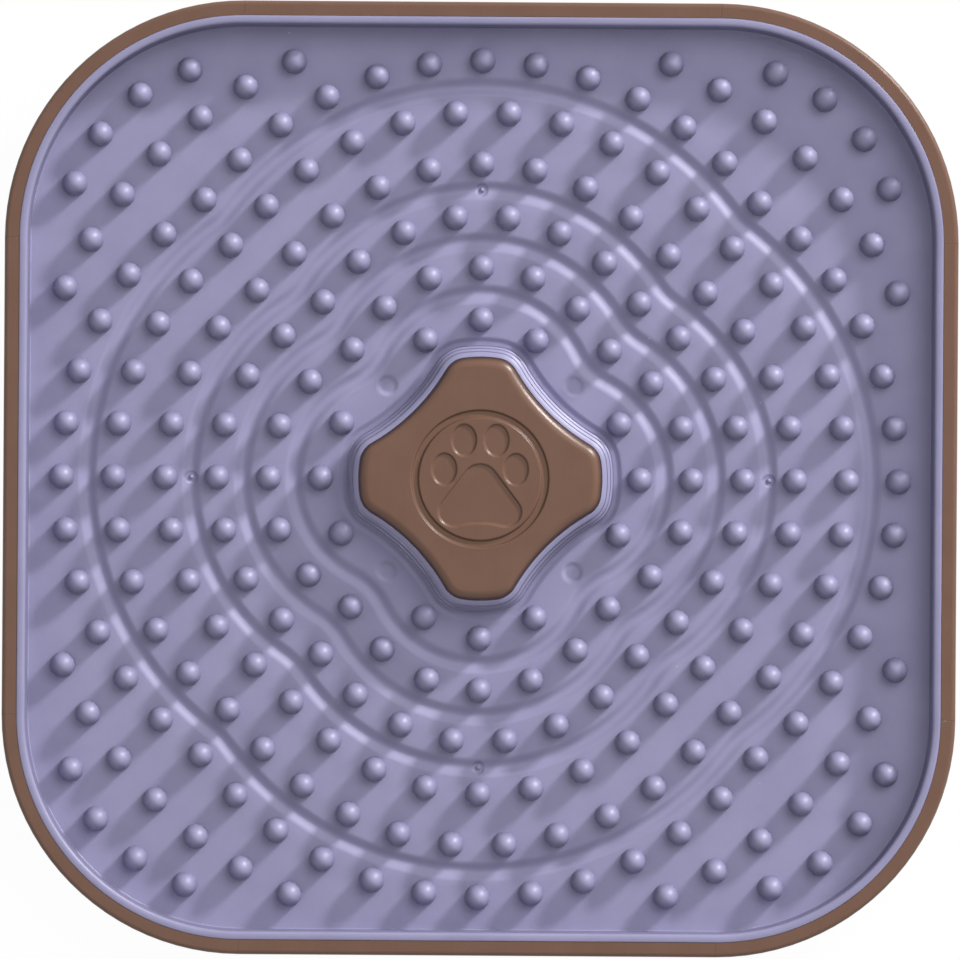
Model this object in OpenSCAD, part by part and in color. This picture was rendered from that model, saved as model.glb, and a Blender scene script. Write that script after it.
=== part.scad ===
// Square lick mat: a rigid tray on four suction cups holds a soft studded pad,
// and a four-armed hub with a paw print stands through the middle of the pad.
// Millimetres. The origin is the middle of the mat, on the surface that the cups stand on.

/* [Mat] */
// Side of the square mat, measured across the rim
mat_w = 200; // [180:1:230]
// Radius of the mat's corners seen from above
mat_corner_r = 50; // [42:1:55]
// Height of the tray's lower edge above the surface that the cups stand on
mat_stand_h = 1.5; // [1:0.1:3]

/* [Tray] */
// Width of the flat top of the rim, which is the wall of the tray
rim_w = 3.05; // [2.4:0.05:4]
// Rounding of the rim's outer top edge
rim_round_r = 0.9; // [0.4:0.1:1.5]
// Chamfer round the tray's outer lower edge
skirt_chamfer = 0.6; // [0.3:0.1:1]
// Thickness of the tray's floor
tray_floor_t = 1.8; // [1.4:0.1:3]
// Depth of the skirt below the tray's floor
skirt_h = 4.1; // [3.6:0.1:6]
// Thickness of the stiffening ribs and of the support rings
rib_t = 1.4; // [1:0.1:2.4]
// How far the ribs stop short of the skirt's lower edge
rib_setback = 0.6; // [0.2:0.1:1.5]
// Free width between a suction cup and the nearest rib
rib_cup_gap = 13; // [8:0.5:16]
// Height of the supports that carry the pad above the tray's floor
support_h = 2.6; // [2.4:0.1:5]
// Width of the support ledge along the inside of the tray's wall
ledge_w = 2.4; // [1.5:0.1:5]
// Distance of the inner support ring from the tips of the hub
support_hub_gap = 14.5; // [10:0.5:18]
// Distance of the outer support ring from the middles of the suction cups
support_cup_gap = 14; // [9:0.5:18]

/* [Pad] */
// Thickness of the pad's floor
pad_floor_t = 2; // [1.6:0.1:3]
// Height of the pad's wall above its floor
pad_wall_h = 9.8; // [7:0.1:14]
// Thickness of the pad's wall at its lip
pad_lip_w = 1.6; // [1.2:0.1:2.4]
// How much thicker the pad's wall is at its foot
pad_wall_draft = 0.3; // [0.1:0.1:1]
// Rounding of the lip's inner edge
pad_lip_round_r = 0.9; // [0.4:0.1:1.1]
// Fillet where the wall meets the pad's floor
pad_foot_r = 1; // [0.5:0.1:2]
// Clearance between the pad and the tray's wall, and between the pad and the hub
pad_fit_gap = 0.15; // [0.1:0.05:0.4]
// Clearance between the pad and its supports
pad_seat_gap = 0.2; // [0.1:0.05:0.5]

/* [Collar] */
// Thickness of the collar round the hub at its lip
collar_lip_w = 1.1; // [0.8:0.1:1.6]
// Thickness of the collar at its foot
collar_foot_w = 2.1; // [1.8:0.1:3]
// Rounding of the collar's outer top edge
collar_round_r = 0.6; // [0.3:0.1:0.8]
// Width of the moat round the collar
moat_w = 2.05; // [1:0.05:3]
// Depth of the moat below the pad's floor
moat_depth = 0.8; // [0.4:0.1:1.2]

/* [Pegs] */
// Diameter of a peg
peg_d = 5.5; // [4:0.1:7]
// Height of a peg, with its domed top
peg_h = 5.4; // [4:0.1:6.5]
// Width and height of the sloped foot round a peg
peg_foot = 0.4; // [0.2:0.1:0.8]
// Distance from the moat to the first ring of pegs, on the mat's axes
ring_first_gap = 3.8; // [3.3:0.1:8]
// Step from one ring of pegs to the next
ring_step = 10.9; // [9.9:0.1:14]
// Distance of the lobes' arc centres from the middle of the mat
lobe_offset = 16; // [8:0.5:18]
// Radius of the waist between two lobes
waist_r = 15; // [8:0.5:30]
// Greatest shift of a peg along its ring, which evens out the spacing
ring_ease = 0.45; // [0:0.05:1]
// Least distance between a peg's foot and the fillet of the pad's wall
peg_edge_gap = 2; // [1:0.1:3]
// Distance from the last full ring to the row of pegs across each corner
corner_row_gap = 8.1; // [7:0.1:12]
// Step between pegs in the row across each corner
corner_row_step = 11.55; // [9:0.05:13]
// Distance of the outermost row of pegs from the mat's rounded corner
outer_row_inset = 12.4; // [11:0.1:16]
// Step between pegs in the outermost row
outer_row_step = 11.8; // [9:0.1:14]

/* [Grooves] */
// Width of a groove between two rings of pegs
groove_w = 3.6; // [2:0.1:4]
// Depth of a groove
groove_depth = 0.9; // [0.4:0.1:1.2]
// Width of a groove's flat bed
groove_bed_w = 1.6; // [0.6:0.1:1.8]
// Diameter of the moulding gate's pit in a groove
gate_pit_d = 2.4; // [1.6:0.1:3]
// Depth of the gate's pit below the groove
gate_pit_depth = 0.2; // [0.1:0.05:0.3]
// Diameter of the gate's stub
gate_stub_d = 1.1; // [0.6:0.1:1.4]
// Height of the gate's stub above the groove
gate_stub_h = 0.4; // [0.2:0.1:0.8]
// Diameter of an ejector pin's mark
eject_d = 4.5; // [3:0.1:5]
// Depth of an ejector pin's mark
eject_depth = 0.15; // [0.05:0.05:0.3]
// Distance of the ejector marks' middles from the moat
eject_gap = 3.55; // [3:0.05:6]

/* [Hub] */
// Distance from the middle of the hub to the tip of an arm
hub_reach = 25.5; // [24:0.1:30]
// Distance from the middle of the hub to its waist between two arms
hub_waist = 19.85; // [18:0.05:20.5]
// Radius of the hollow flank between two arms
hub_flank_r = 42.8; // [36:0.1:60]
// Radius of the corners of an arm's tip
hub_tip_r = 5; // [4:0.1:5.5]
// Height of the hub above the rim
hub_proud = 1.8; // [1.7:0.1:6]
// Rounding of the hub's top edge
hub_round_r = 1.7; // [1:0.1:1.7]
// Thickness of the hub's side wall
hub_wall_t = 2; // [1.5:0.1:2.5]
// Thickness of the hub's top
hub_top_t = 2.4; // [1.8:0.1:4]
// Height of the raised outline on the tray that centres the hub
spigot_h = 2; // [1:0.1:4]
// Thickness of that raised outline
spigot_t = 1.2; // [0.8:0.1:1.6]
// Clearance between the raised outline and the hub's wall
spigot_gap = 0.1; // [0.05:0.05:0.3]

/* [Paw] */
// Radius of the ring round the paw, at the middle of its width
paw_ring_r = 13.75; // [13:0.05:14.5]
// Width of the ring
paw_ring_w = 1.55; // [0.8:0.05:2]
// Depth of the ring
paw_ring_depth = 0.6; // [0.3:0.1:1]
// Depth of the paw print
paw_depth = 0.5; // [0.3:0.1:1]
// Radius of the top of the paw's pad
paw_top_r = 3.9; // [3:0.1:4.2]
// Distance of the pad's top circle below the middle of the hub
paw_top_drop = 0.8; // [0.4:0.1:2]
// Radius of the paw pad's lower corners
paw_low_r = 3.1; // [2.4:0.1:3.3]
// Sideways distance of the lower corners' circles
paw_low_x = 5.6; // [4:0.1:6]
// Distance of the lower corners' circles below the middle of the hub
paw_low_drop = 6.9; // [6:0.1:7.2]
// How far the paw pad's lower edge rises between its corners
paw_arch = 0.7; // [0.3:0.1:1.2]
// Half width and half height of a toe
toe_size = [2.55, 3.3]; // [2:0.05:3.5]
// Place of an inner toe, sideways and up from the middle of the hub
toe_inner = [3.4, 8.1]; // [2:0.1:9]
// Place of an outer toe, sideways and up from the middle of the hub
toe_outer = [7.5, 2]; // [1:0.1:9]

/* [Screws] */
// Diameter of a screw's thread
screw_d = 2.9; // [2.2:0.1:3.5]
// Length of a screw below its head
screw_l = 10; // [6:0.5:12]
// Diameter of a screw's head
screw_head_d = 5.6; // [4.5:0.1:6.5]
// Height of a screw's head
screw_head_h = 1.9; // [1.4:0.1:2.5]
// Length of an arm of the cross recess
screw_cross_w = 3; // [2:0.1:3.6]
// Thickness of an arm of the cross recess
screw_cross_t = 0.7; // [0.5:0.1:1]
// Depth of the cross recess
screw_cross_depth = 1.1; // [0.6:0.1:1.3]
// Distance of the screws from the middle of the hub
screw_place = 14; // [10:0.5:15]
// Diameter of the bosses that the screws hold
boss_d = 6.5; // [5.5:0.1:8]
// Clearance round a screw in its hole, on the radius
screw_gap = 0.1; // [0.05:0.05:0.2]

/* [Suction cups] */
// Diameter of a suction cup
cup_d = 34; // [28:1:38]
// Distance of the cups' middles from the mat's sides
cup_inset = 42; // [38:1:46]
// Width of the flat sealing lip
cup_lip_w = 1; // [0.6:0.1:2]
// Thickness of the cup at its lip
cup_lip_t = 0.8; // [0.5:0.1:1.2]
// Depth of the hollow under the cup
cup_hollow_h = 2.4; // [1.5:0.1:3]
// Diameter of the shoulder under the tray's floor
cup_shoulder_d = 11; // [10:0.5:14]
// Height of the shoulder
cup_shoulder_h = 0.8; // [0.5:0.1:1.2]
// Diameter of the neck through the tray's floor
cup_neck_d = 6.4; // [5:0.1:8]
// Diameter of the head above the tray's floor
cup_head_d = 9.5; // [9:0.1:11]
// Height of the head
cup_head_h = 2; // [1.4:0.1:2.2]
// Clearance between the cup and the tray's floor
cup_gap = 0.1; // [0.05:0.05:0.3]

/* [Hidden] */

// How far a cut runs past a face, and how far a piece of one solid is sunk into the next
overrun = 0.5;
// Fineness of round shapes, and of the small pegs
round_fn = 64;
peg_fn = 24;
// Steps along each kind of arc in an outline
edge_steps = 5;
tip_steps = 2;
tip_corner_steps = 5;
flank_steps = 8;
lobe_steps = 16;
waist_steps = 4;
toe_steps = 28;

quarter_turns = [0:90:270];
tray_colour = "#7a5f51";
pad_colour = "#9896be";
cup_colour = "#c9cbd6";
steel_colour = "#b4b6ba";

// Heights above the surface that the cups stand on
z_floor_under = mat_stand_h + skirt_h;
z_floor_top = z_floor_under + tray_floor_t;
z_support = z_floor_top + support_h;
z_pad_under = z_support + pad_seat_gap;
z_pad_floor = z_pad_under + pad_floor_t;
z_rim = z_pad_floor + pad_wall_h;
z_hub_top = z_rim + hub_proud;

// Plan sizes
mat_half = mat_w / 2;
pad_half = mat_half - rim_w - pad_fit_gap;
pad_corner_r = mat_corner_r - rim_w - pad_fit_gap;
pad_floor_half = pad_half - pad_lip_w - pad_wall_draft - pad_foot_r;
corner_place = mat_half - mat_corner_r;
collar_foot = pad_fit_gap + collar_foot_w;
moat_reach = collar_foot + moat_w;
cup_place = mat_half - cup_inset;
cup_hole_d = cup_neck_d + 2 * cup_gap;
rib_place = cup_place - cup_d / 2 - rib_cup_gap;
support_inner_r = hub_reach + support_hub_gap;
support_outer_r = cup_place * sqrt(2) - support_cup_gap;
screw_hole_d = screw_d + 2 * screw_gap;

// Rings of pegs
peg_r = peg_d / 2;
ring_first_r = hub_reach + moat_reach + ring_first_gap;
ring_room = pad_floor_half - peg_edge_gap - peg_foot - peg_r - ring_first_r;
ring_count = 1 + floor(ring_room / ring_step);
ring_last_r = ring_first_r + (ring_count - 1) * ring_step;
inner_ring_pegs = 16;
second_ring_pegs = 24;
more_pegs_a_ring = 6;
corner_row_pegs = 7;
outer_row_pegs = 4;
corner_row_r = ring_last_r + corner_row_gap;
outer_row_r = mat_corner_r - outer_row_inset;
// A groove lies outside each ring with one of these numbers, counted from the hub
grooved_rings = [0, 1, 2, 4];
gated_ring = 2;

// Centres and tangent directions of the hub's outline
flank_place = hub_waist + hub_flank_r;
tip_corner_place = hub_reach - hub_tip_r;
tip_turn = 45 - acos((pow(tip_corner_place, 2) + pow(flank_place, 2) - pow(hub_flank_r + hub_tip_r, 2))
    / (2 * tip_corner_place * flank_place));
tip_corner_centre = tip_corner_place * [cos(tip_turn), sin(tip_turn)];
flank_centre = flank_place * [cos(45), sin(45)];
flank_turn = atan2(flank_centre[1] - tip_corner_centre[1], flank_centre[0] - tip_corner_centre[0]);

function ring_r(ring) = ring_first_r + ring * ring_step;
function ring_pegs(ring) = ring == 0 ? inner_ring_pegs : second_ring_pegs + (ring - 1) * more_pegs_a_ring;

// Points along an arc, both ends included
function arc_points(centre, r, from, to, steps) =
    [for (i = [0:steps]) let (a = from + (to - from) * i / steps) centre + r * [cos(a), sin(a)]];

function turned(points, angle) =
    [for (p = points) [p[0] * cos(angle) - p[1] * sin(angle), p[0] * sin(angle) + p[1] * cos(angle)]];

// All points of a list but the last, which the next stretch repeats
function open_end(points) = [for (i = [0:len(points) - 2]) points[i]];

// A quarter of the hub's outline, from one tip's middle to the next, moved outwards by reach
function hub_quarter(reach) = concat(
    open_end(arc_points([0, 0], hub_reach + reach, 0, tip_turn, tip_steps)),
    open_end(arc_points(tip_corner_centre, hub_tip_r + reach, tip_turn, flank_turn, tip_corner_steps)),
    open_end(arc_points(flank_centre, hub_flank_r - reach, 180 + flank_turn, 270 - flank_turn, flank_steps)),
    open_end(arc_points([tip_corner_centre[1], tip_corner_centre[0]], hub_tip_r + reach,
        90 - flank_turn, 90 - tip_turn, tip_corner_steps)),
    open_end(arc_points([0, 0], hub_reach + reach, 90 - tip_turn, 90, tip_steps)));

function hub_outline(reach) = [for (a = quarter_turns) each turned(hub_quarter(reach), a)];

// The lobed rings: four arcs centred off the middle, joined by a small waist on each diagonal
function lobe_r(r) = r - lobe_offset;
function waist_place(r) = lobe_offset * cos(45)
    + sqrt(pow(lobe_r(r) + waist_r, 2) - pow(lobe_offset * sin(45), 2));
function lobe_turn(r) = atan2(waist_place(r) * sin(45), waist_place(r) * cos(45) - lobe_offset);
function lobe_end(r) = atan2(lobe_r(r) * sin(lobe_turn(r)), lobe_offset + lobe_r(r) * cos(lobe_turn(r)));

// Distance of a lobed ring from the middle in a given direction
function lobed_r(r, direction) =
    let (off_axis = abs((direction + 45) % 90 - 45), off_waist = 45 - off_axis)
    off_axis <= lobe_end(r)
        ? lobe_offset * cos(off_axis) + sqrt(pow(lobe_r(r), 2) - pow(lobe_offset * sin(off_axis), 2))
        : waist_place(r) * cos(off_waist) - sqrt(pow(waist_r, 2) - pow(waist_place(r) * sin(off_waist), 2));

// Outline of a lobed ring, moved outwards by reach
function lobed_outline(r, reach) = [for (a = quarter_turns) each turned(concat(
    open_end(arc_points([lobe_offset, 0], lobe_r(r) + reach, -lobe_turn(r), lobe_turn(r), lobe_steps)),
    open_end(arc_points(waist_place(r) * [cos(45), sin(45)], waist_r - reach,
        180 + lobe_turn(r), 270 - lobe_turn(r), waist_steps))), a)];

// Direction of a peg in its ring
function peg_direction(ring, i) =
    let (even = i * 360 / ring_pegs(ring))
    even - ring_ease / ring_r(ring) * sin(4 * even) * 180 / PI;

// The inner ring leaves out the pegs on the diagonals
function has_peg(ring, i) = ring > 0 || i % (inner_ring_pegs / 4) != inner_ring_pegs / 8;

// A closed ring of solid. Its section runs through outlines of equal length, given with their heights:
// up the outer side and down the inner one
module band(outlines, heights) {
    n = len(outlines[0]);
    loops = len(outlines);
    points = [for (k = [0:loops - 1]) for (p = outlines[k]) [p[0], p[1], heights[k]]];
    faces = [for (k = [0:loops - 1]) for (i = [0:n - 1])
        let (j = (i + 1) % n, here = k * n, next = (k + 1) % loops * n)
        each [[here + i, next + i, next + j], [here + i, next + j, here + j]]];
    polyhedron(points, faces, convexity = 6);
}

// Takes all that lies outside a section round the hub, between the section's ends. The section is a list
// of [distance from the hub, height] from its top down
module hub_trim(section, outer_reach) {
    low = section[len(section) - 1][1];
    loop = concat([[outer_reach, low], [outer_reach, section[0][1]]], section);
    band([for (p = loop) hub_outline(p[0])], [for (p = loop) p[1]]);
}

// Runs a section round a rounded square; the section's x = 0 follows the square's outline
module around_square(half, corner_r) {
    run = 2 * (half - corner_r);
    for (a = quarter_turns)
        rotate([0, 0, a]) {
            translate([half, run / 2, 0])
                rotate([90, 0, 0])
                    linear_extrude(height = run)
                        children();
            translate([run / 2, run / 2, 0])
                rotate_extrude(angle = 90, $fn = round_fn)
                    translate([corner_r, 0])
                        children();
        }
}

module rounded_square(half, corner_r) {
    flat = half - corner_r;
    square([2 * half, 2 * flat], center = true);
    square([2 * flat, 2 * half], center = true);
    for (x = [-flat, flat], y = [-flat, flat])
        translate([x, y])
            circle(r = corner_r, $fn = round_fn);
}

// A wall that stands in a ring
module ring_wall(r, t, h) {
    difference() {
        cylinder(r = r + t / 2, h = h, $fn = round_fn);
        translate([0, 0, -overrun])
            cylinder(r = r - t / 2, h = h + 2 * overrun, $fn = round_fn);
    }
}

module at_cups() {
    for (x = [-cup_place, cup_place], y = [-cup_place, cup_place])
        translate([x, y, 0])
            children();
}

module at_screws() {
    for (a = quarter_turns)
        rotate([0, 0, a])
            translate([screw_place, 0, 0])
                children();
}

module tray_wall_section() {
    top = z_rim - mat_stand_h;
    polygon(concat(
        [[-rim_w, 0], [-skirt_chamfer, 0], [0, skirt_chamfer]],
        arc_points([-rim_round_r, top - rim_round_r], rim_round_r, 0, 90, edge_steps),
        [[-rim_w, top]]));
}

module tray_floor() {
    translate([0, 0, z_floor_under])
        linear_extrude(height = tray_floor_t)
            rounded_square(mat_half - rim_w / 2, mat_corner_r - rim_w / 2);
}

// Ledge along the wall and two rings, which carry the pad
module tray_supports() {
    translate([0, 0, z_floor_top - overrun]) {
        around_square(mat_half, mat_corner_r)
            translate([-rim_w - ledge_w, 0])
                square([ledge_w + rim_w / 2, support_h + overrun]);
        for (r = [support_inner_r, support_outer_r])
            ring_wall(r, rib_t, support_h + overrun);
    }
}

// Two pairs of crossing ribs under the floor
module tray_ribs() {
    rib_h = skirt_h - rib_setback + overrun;
    for (a = [0, 90], y = [-rib_place, rib_place])
        rotate([0, 0, a])
            translate([-mat_half + rim_w / 2, y - rib_t / 2, mat_stand_h + rib_setback])
                cube([mat_w - rim_w, rib_t, rib_h]);
}

// Raised outline inside the hub's wall
module hub_spigot() {
    outer = -hub_wall_t - spigot_gap;
    translate([0, 0, z_floor_top - overrun])
        linear_extrude(height = spigot_h + overrun)
            difference() {
                polygon(hub_outline(outer));
                polygon(hub_outline(outer - spigot_t));
            }
}

module base_tray() {
    hole_h = tray_floor_t + 2 * overrun;
    color(tray_colour)
        difference() {
            union() {
                translate([0, 0, mat_stand_h])
                    around_square(mat_half, mat_corner_r)
                        tray_wall_section();
                tray_floor();
                tray_supports();
                tray_ribs();
                hub_spigot();
            }
            translate([0, 0, z_floor_under - overrun]) {
                at_cups()
                    cylinder(d = cup_hole_d, h = hole_h, $fn = round_fn);
                at_screws()
                    cylinder(d = screw_hole_d, h = hole_h, $fn = round_fn);
            }
        }
}

module pad_wall_section() {
    top = z_rim - z_pad_under;
    foot = -pad_lip_w - pad_wall_draft;
    polygon(concat(
        [[0, 0], [0, top]],
        arc_points([-pad_lip_w + pad_lip_round_r, top - pad_lip_round_r], pad_lip_round_r, 90, 180, edge_steps),
        arc_points([foot - pad_foot_r, pad_floor_t + pad_foot_r], pad_foot_r, 0, -90, edge_steps),
        [[foot - pad_foot_r, 0]]));
}

module peg() {
    barrel_h = peg_h - peg_r;
    translate([0, 0, -overrun])
        rotate_extrude($fn = peg_fn)
            intersection() {
                union() {
                    square([peg_r, barrel_h + overrun]);
                    translate([0, barrel_h + overrun])
                        circle(r = peg_r, $fn = peg_fn);
                }
                square([peg_r, peg_h + overrun]);
            }
    cylinder(r1 = peg_r + peg_foot, r2 = peg_r, h = peg_foot, $fn = peg_fn);
}

module ring_of_pegs(ring) {
    for (i = [0:ring_pegs(ring) - 1])
        if (has_peg(ring, i)) {
            direction = peg_direction(ring, i);
            rotate([0, 0, direction])
                translate([lobed_r(ring_r(ring), direction), 0, 0])
                    peg();
        }
}

// A row across each corner, centred on the mat, and a shorter row that follows the rounded corner
module corner_pegs() {
    row_turn = corner_row_step / corner_row_r * 180 / PI;
    outer_turn = outer_row_step / outer_row_r * 180 / PI;
    for (a = quarter_turns) {
        for (i = [0:corner_row_pegs - 1])
            rotate([0, 0, a + 45 + (i - (corner_row_pegs - 1) / 2) * row_turn])
                translate([corner_row_r, 0, 0])
                    peg();
        rotate([0, 0, a])
            translate([corner_place, corner_place, 0])
                for (i = [0:outer_row_pegs - 1])
                    rotate([0, 0, 45 + (i - (outer_row_pegs - 1) / 2) * outer_turn])
                        translate([outer_row_r, 0, 0])
                            peg();
    }
}

// Channel with sloped sides along a lobed ring
module groove(r) {
    half = groove_w / 2;
    bed = groove_bed_w / 2;
    top = half + (half - bed) * overrun / groove_depth;
    band([for (reach = [bed, top, -top, -bed]) lobed_outline(r, reach)],
        [-groove_depth, overrun, overrun, -groove_depth]);
}

// Marks left by the mould, cut into the pad's floor: gate pits in a groove and ejector pins
module mould_pits() {
    for (a = quarter_turns) {
        rotate([0, 0, a])
            translate([ring_r(gated_ring) + ring_step / 2, 0, -groove_depth - gate_pit_depth])
                cylinder(d = gate_pit_d, h = groove_depth + gate_pit_depth + overrun, $fn = round_fn);
        rotate([0, 0, a + 45])
            translate([hub_waist + moat_reach + eject_gap, 0, -eject_depth])
                cylinder(d = eject_d, h = eject_depth + overrun, $fn = round_fn);
    }
}

module gate_stubs() {
    foot = groove_depth + gate_pit_depth + overrun / 2;
    for (a = quarter_turns)
        rotate([0, 0, a])
            translate([ring_r(gated_ring) + ring_step / 2, 0, -foot])
                cylinder(d = gate_stub_d, h = foot - groove_depth + gate_stub_h, $fn = round_fn);
}

// The floor of the pad with its grooves, moat and mould marks
module pad_floor() {
    difference() {
        translate([0, 0, z_pad_under])
            linear_extrude(height = pad_floor_t)
                rounded_square(pad_half - pad_lip_w, pad_corner_r - pad_lip_w);
        translate([0, 0, z_pad_floor]) {
            for (ring = grooved_rings)
                if (ring < ring_count - 1)
                    groove(ring_r(ring) + ring_step / 2);
            mould_pits();
            translate([0, 0, -moat_depth])
                linear_extrude(height = moat_depth + overrun)
                    polygon(hub_outline(moat_reach));
        }
    }
}

// The collar that closes round the hub
module collar() {
    lip = pad_fit_gap + collar_lip_w;
    low = z_pad_floor - moat_depth - overrun;
    slope = (collar_foot - lip) / (z_rim - collar_round_r - z_pad_floor);
    difference() {
        translate([0, 0, low])
            linear_extrude(height = z_rim - low)
                difference() {
                    polygon(hub_outline(collar_foot));
                    polygon(hub_outline(0));
                }
        hub_trim([[lip - 2 * collar_round_r, z_rim + collar_round_r], [lip, z_rim - collar_round_r],
                [collar_foot + slope * overrun, z_pad_floor - overrun]], collar_foot + overrun);
    }
}

module lick_pad() {
    color(pad_colour)
        difference() {
            union() {
                pad_floor();
                collar();
                translate([0, 0, z_pad_under])
                    around_square(pad_half, pad_corner_r)
                        pad_wall_section();
                translate([0, 0, z_pad_floor]) {
                    for (ring = [0:ring_count - 1])
                        ring_of_pegs(ring);
                    corner_pegs();
                    gate_stubs();
                }
            }
            translate([0, 0, z_pad_under - overrun])
                linear_extrude(height = z_rim - z_pad_under + 2 * overrun)
                    polygon(hub_outline(pad_fit_gap));
        }
}

module hub_body() {
    round_points = arc_points([-hub_round_r, z_hub_top - hub_round_r], hub_round_r, 90, 0, edge_steps);
    difference() {
        translate([0, 0, z_floor_top])
            linear_extrude(height = z_hub_top - z_floor_top)
                polygon(hub_outline(0));
        hub_trim(concat([2 * round_points[0] - round_points[1]], round_points,
            [2 * round_points[edge_steps] - round_points[edge_steps - 1]]), overrun);
    }
}

// Rounded triangle with an arched lower edge
function paw_pad_points() =
    let (top = [0, -paw_top_drop], low = [paw_low_x, -paw_low_drop],
        side = norm(low - top),
        side_turn = atan2(low[1] - top[1], low[0]) + acos((paw_top_r - paw_low_r) / side),
        dip = paw_low_r - paw_arch,
        arch_r = (pow(paw_low_x, 2) + pow(dip, 2) - pow(paw_low_r, 2)) / (2 * (paw_low_r - dip)),
        arch = [0, low[1] - dip - arch_r],
        arch_turn = atan2(low[1] - arch[1], paw_low_x))
    concat(
        arc_points(top, paw_top_r, 180 - side_turn, side_turn, flank_steps),
        arc_points(low, paw_low_r, side_turn, arch_turn - 180, flank_steps),
        open_end(arc_points(arch, arch_r, arch_turn, 180 - arch_turn, flank_steps)),
        arc_points([-low[0], low[1]], paw_low_r, 360 - arch_turn, 180 - side_turn, flank_steps));

module toe(place) {
    translate(place)
        polygon([for (i = [0:toe_steps - 1])
            let (a = 360 * i / toe_steps) [toe_size[0] * cos(a), toe_size[1] * sin(a)]]);
}

module paw_print() {
    polygon(paw_pad_points());
    for (side = [-1, 1]) {
        toe([side * toe_inner[0], toe_inner[1]]);
        toe([side * toe_outer[0], toe_outer[1]]);
    }
}

module centre_hub() {
    color(tray_colour)
        difference() {
            hub_body();
            difference() {
                translate([0, 0, z_floor_top - overrun])
                    linear_extrude(height = z_hub_top - hub_top_t - z_floor_top + overrun)
                        polygon(hub_outline(-hub_wall_t));
                translate([0, 0, z_floor_top])
                    at_screws()
                        cylinder(d = boss_d, h = z_hub_top - z_floor_top, $fn = round_fn);
            }
            translate([0, 0, z_floor_top - overrun])
                at_screws()
                    cylinder(d = screw_hole_d, h = screw_l - tray_floor_t + 2 * overrun, $fn = round_fn);
            translate([0, 0, z_hub_top - paw_ring_depth])
                ring_wall(paw_ring_r, paw_ring_w, paw_ring_depth + overrun);
            translate([0, 0, z_hub_top - paw_depth])
                linear_extrude(height = paw_depth + overrun)
                    paw_print();
        }
}

// Pan-head screw that points up, with its head under the tray's floor
module screw() {
    difference() {
        union() {
            cylinder(d = screw_d, h = screw_l, $fn = round_fn);
            translate([0, 0, -screw_head_h])
                cylinder(d1 = screw_head_d - screw_cross_t, d2 = screw_head_d, h = screw_head_h, $fn = round_fn);
        }
        for (a = [0, 90])
            rotate([0, 0, a])
                translate([-screw_cross_w / 2, -screw_cross_t / 2, -screw_head_h - overrun])
                    cube([screw_cross_w, screw_cross_t, screw_cross_depth + overrun]);
    }
}

module hub_screws() {
    color(steel_colour)
        translate([0, 0, z_floor_under])
            at_screws()
                screw();
}

module suction_cup() {
    cup_r = cup_d / 2;
    hollow_r = cup_r - cup_lip_w;
    hollow_round_r = (pow(hollow_r, 2) + pow(cup_hollow_h, 2)) / (2 * cup_hollow_h);
    hollow_turn = asin(hollow_r / hollow_round_r);
    shoulder_r = cup_shoulder_d / 2;
    shoulder_top = z_floor_under - cup_gap;
    shoulder_foot = shoulder_top - cup_shoulder_h;
    bell_w = cup_r - shoulder_r;
    bell_h = shoulder_foot - cup_lip_t;
    neck_top = z_floor_top + cup_gap;
    head_r = cup_head_d / 2;
    outer_steps = [for (i = [1:flank_steps - 1]) i / flank_steps];
    rotate_extrude($fn = round_fn)
        polygon(concat(
            arc_points([0, cup_hollow_h - hollow_round_r], hollow_round_r, 90, 90 - hollow_turn, flank_steps),
            [[cup_r, 0], [cup_r, cup_lip_t]],
            [for (t = outer_steps) [cup_r - bell_w * t, cup_lip_t + bell_h * pow(sin(90 * t), 2)]],
            [[shoulder_r, shoulder_foot], [shoulder_r, shoulder_top], [cup_neck_d / 2, shoulder_top],
                [cup_neck_d / 2, neck_top], [head_r, neck_top], [head_r, neck_top + cup_head_h / 2],
                [cup_neck_d / 2, neck_top + cup_head_h], [0, neck_top + cup_head_h]]));
}

module placed_cup(side_x, side_y) {
    color(cup_colour)
        translate([side_x * cup_place, side_y * cup_place, 0])
            suction_cup();
}

module suction_cup_front_left() { placed_cup(-1, -1); }
module suction_cup_front_right() { placed_cup(1, -1); }
module suction_cup_rear_left() { placed_cup(-1, 1); }
module suction_cup_rear_right() { placed_cup(1, 1); }

base_tray();
lick_pad();
centre_hub();
hub_screws();
suction_cup_front_left();
suction_cup_front_right();
suction_cup_rear_left();
suction_cup_rear_right();
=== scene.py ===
import math

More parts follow.
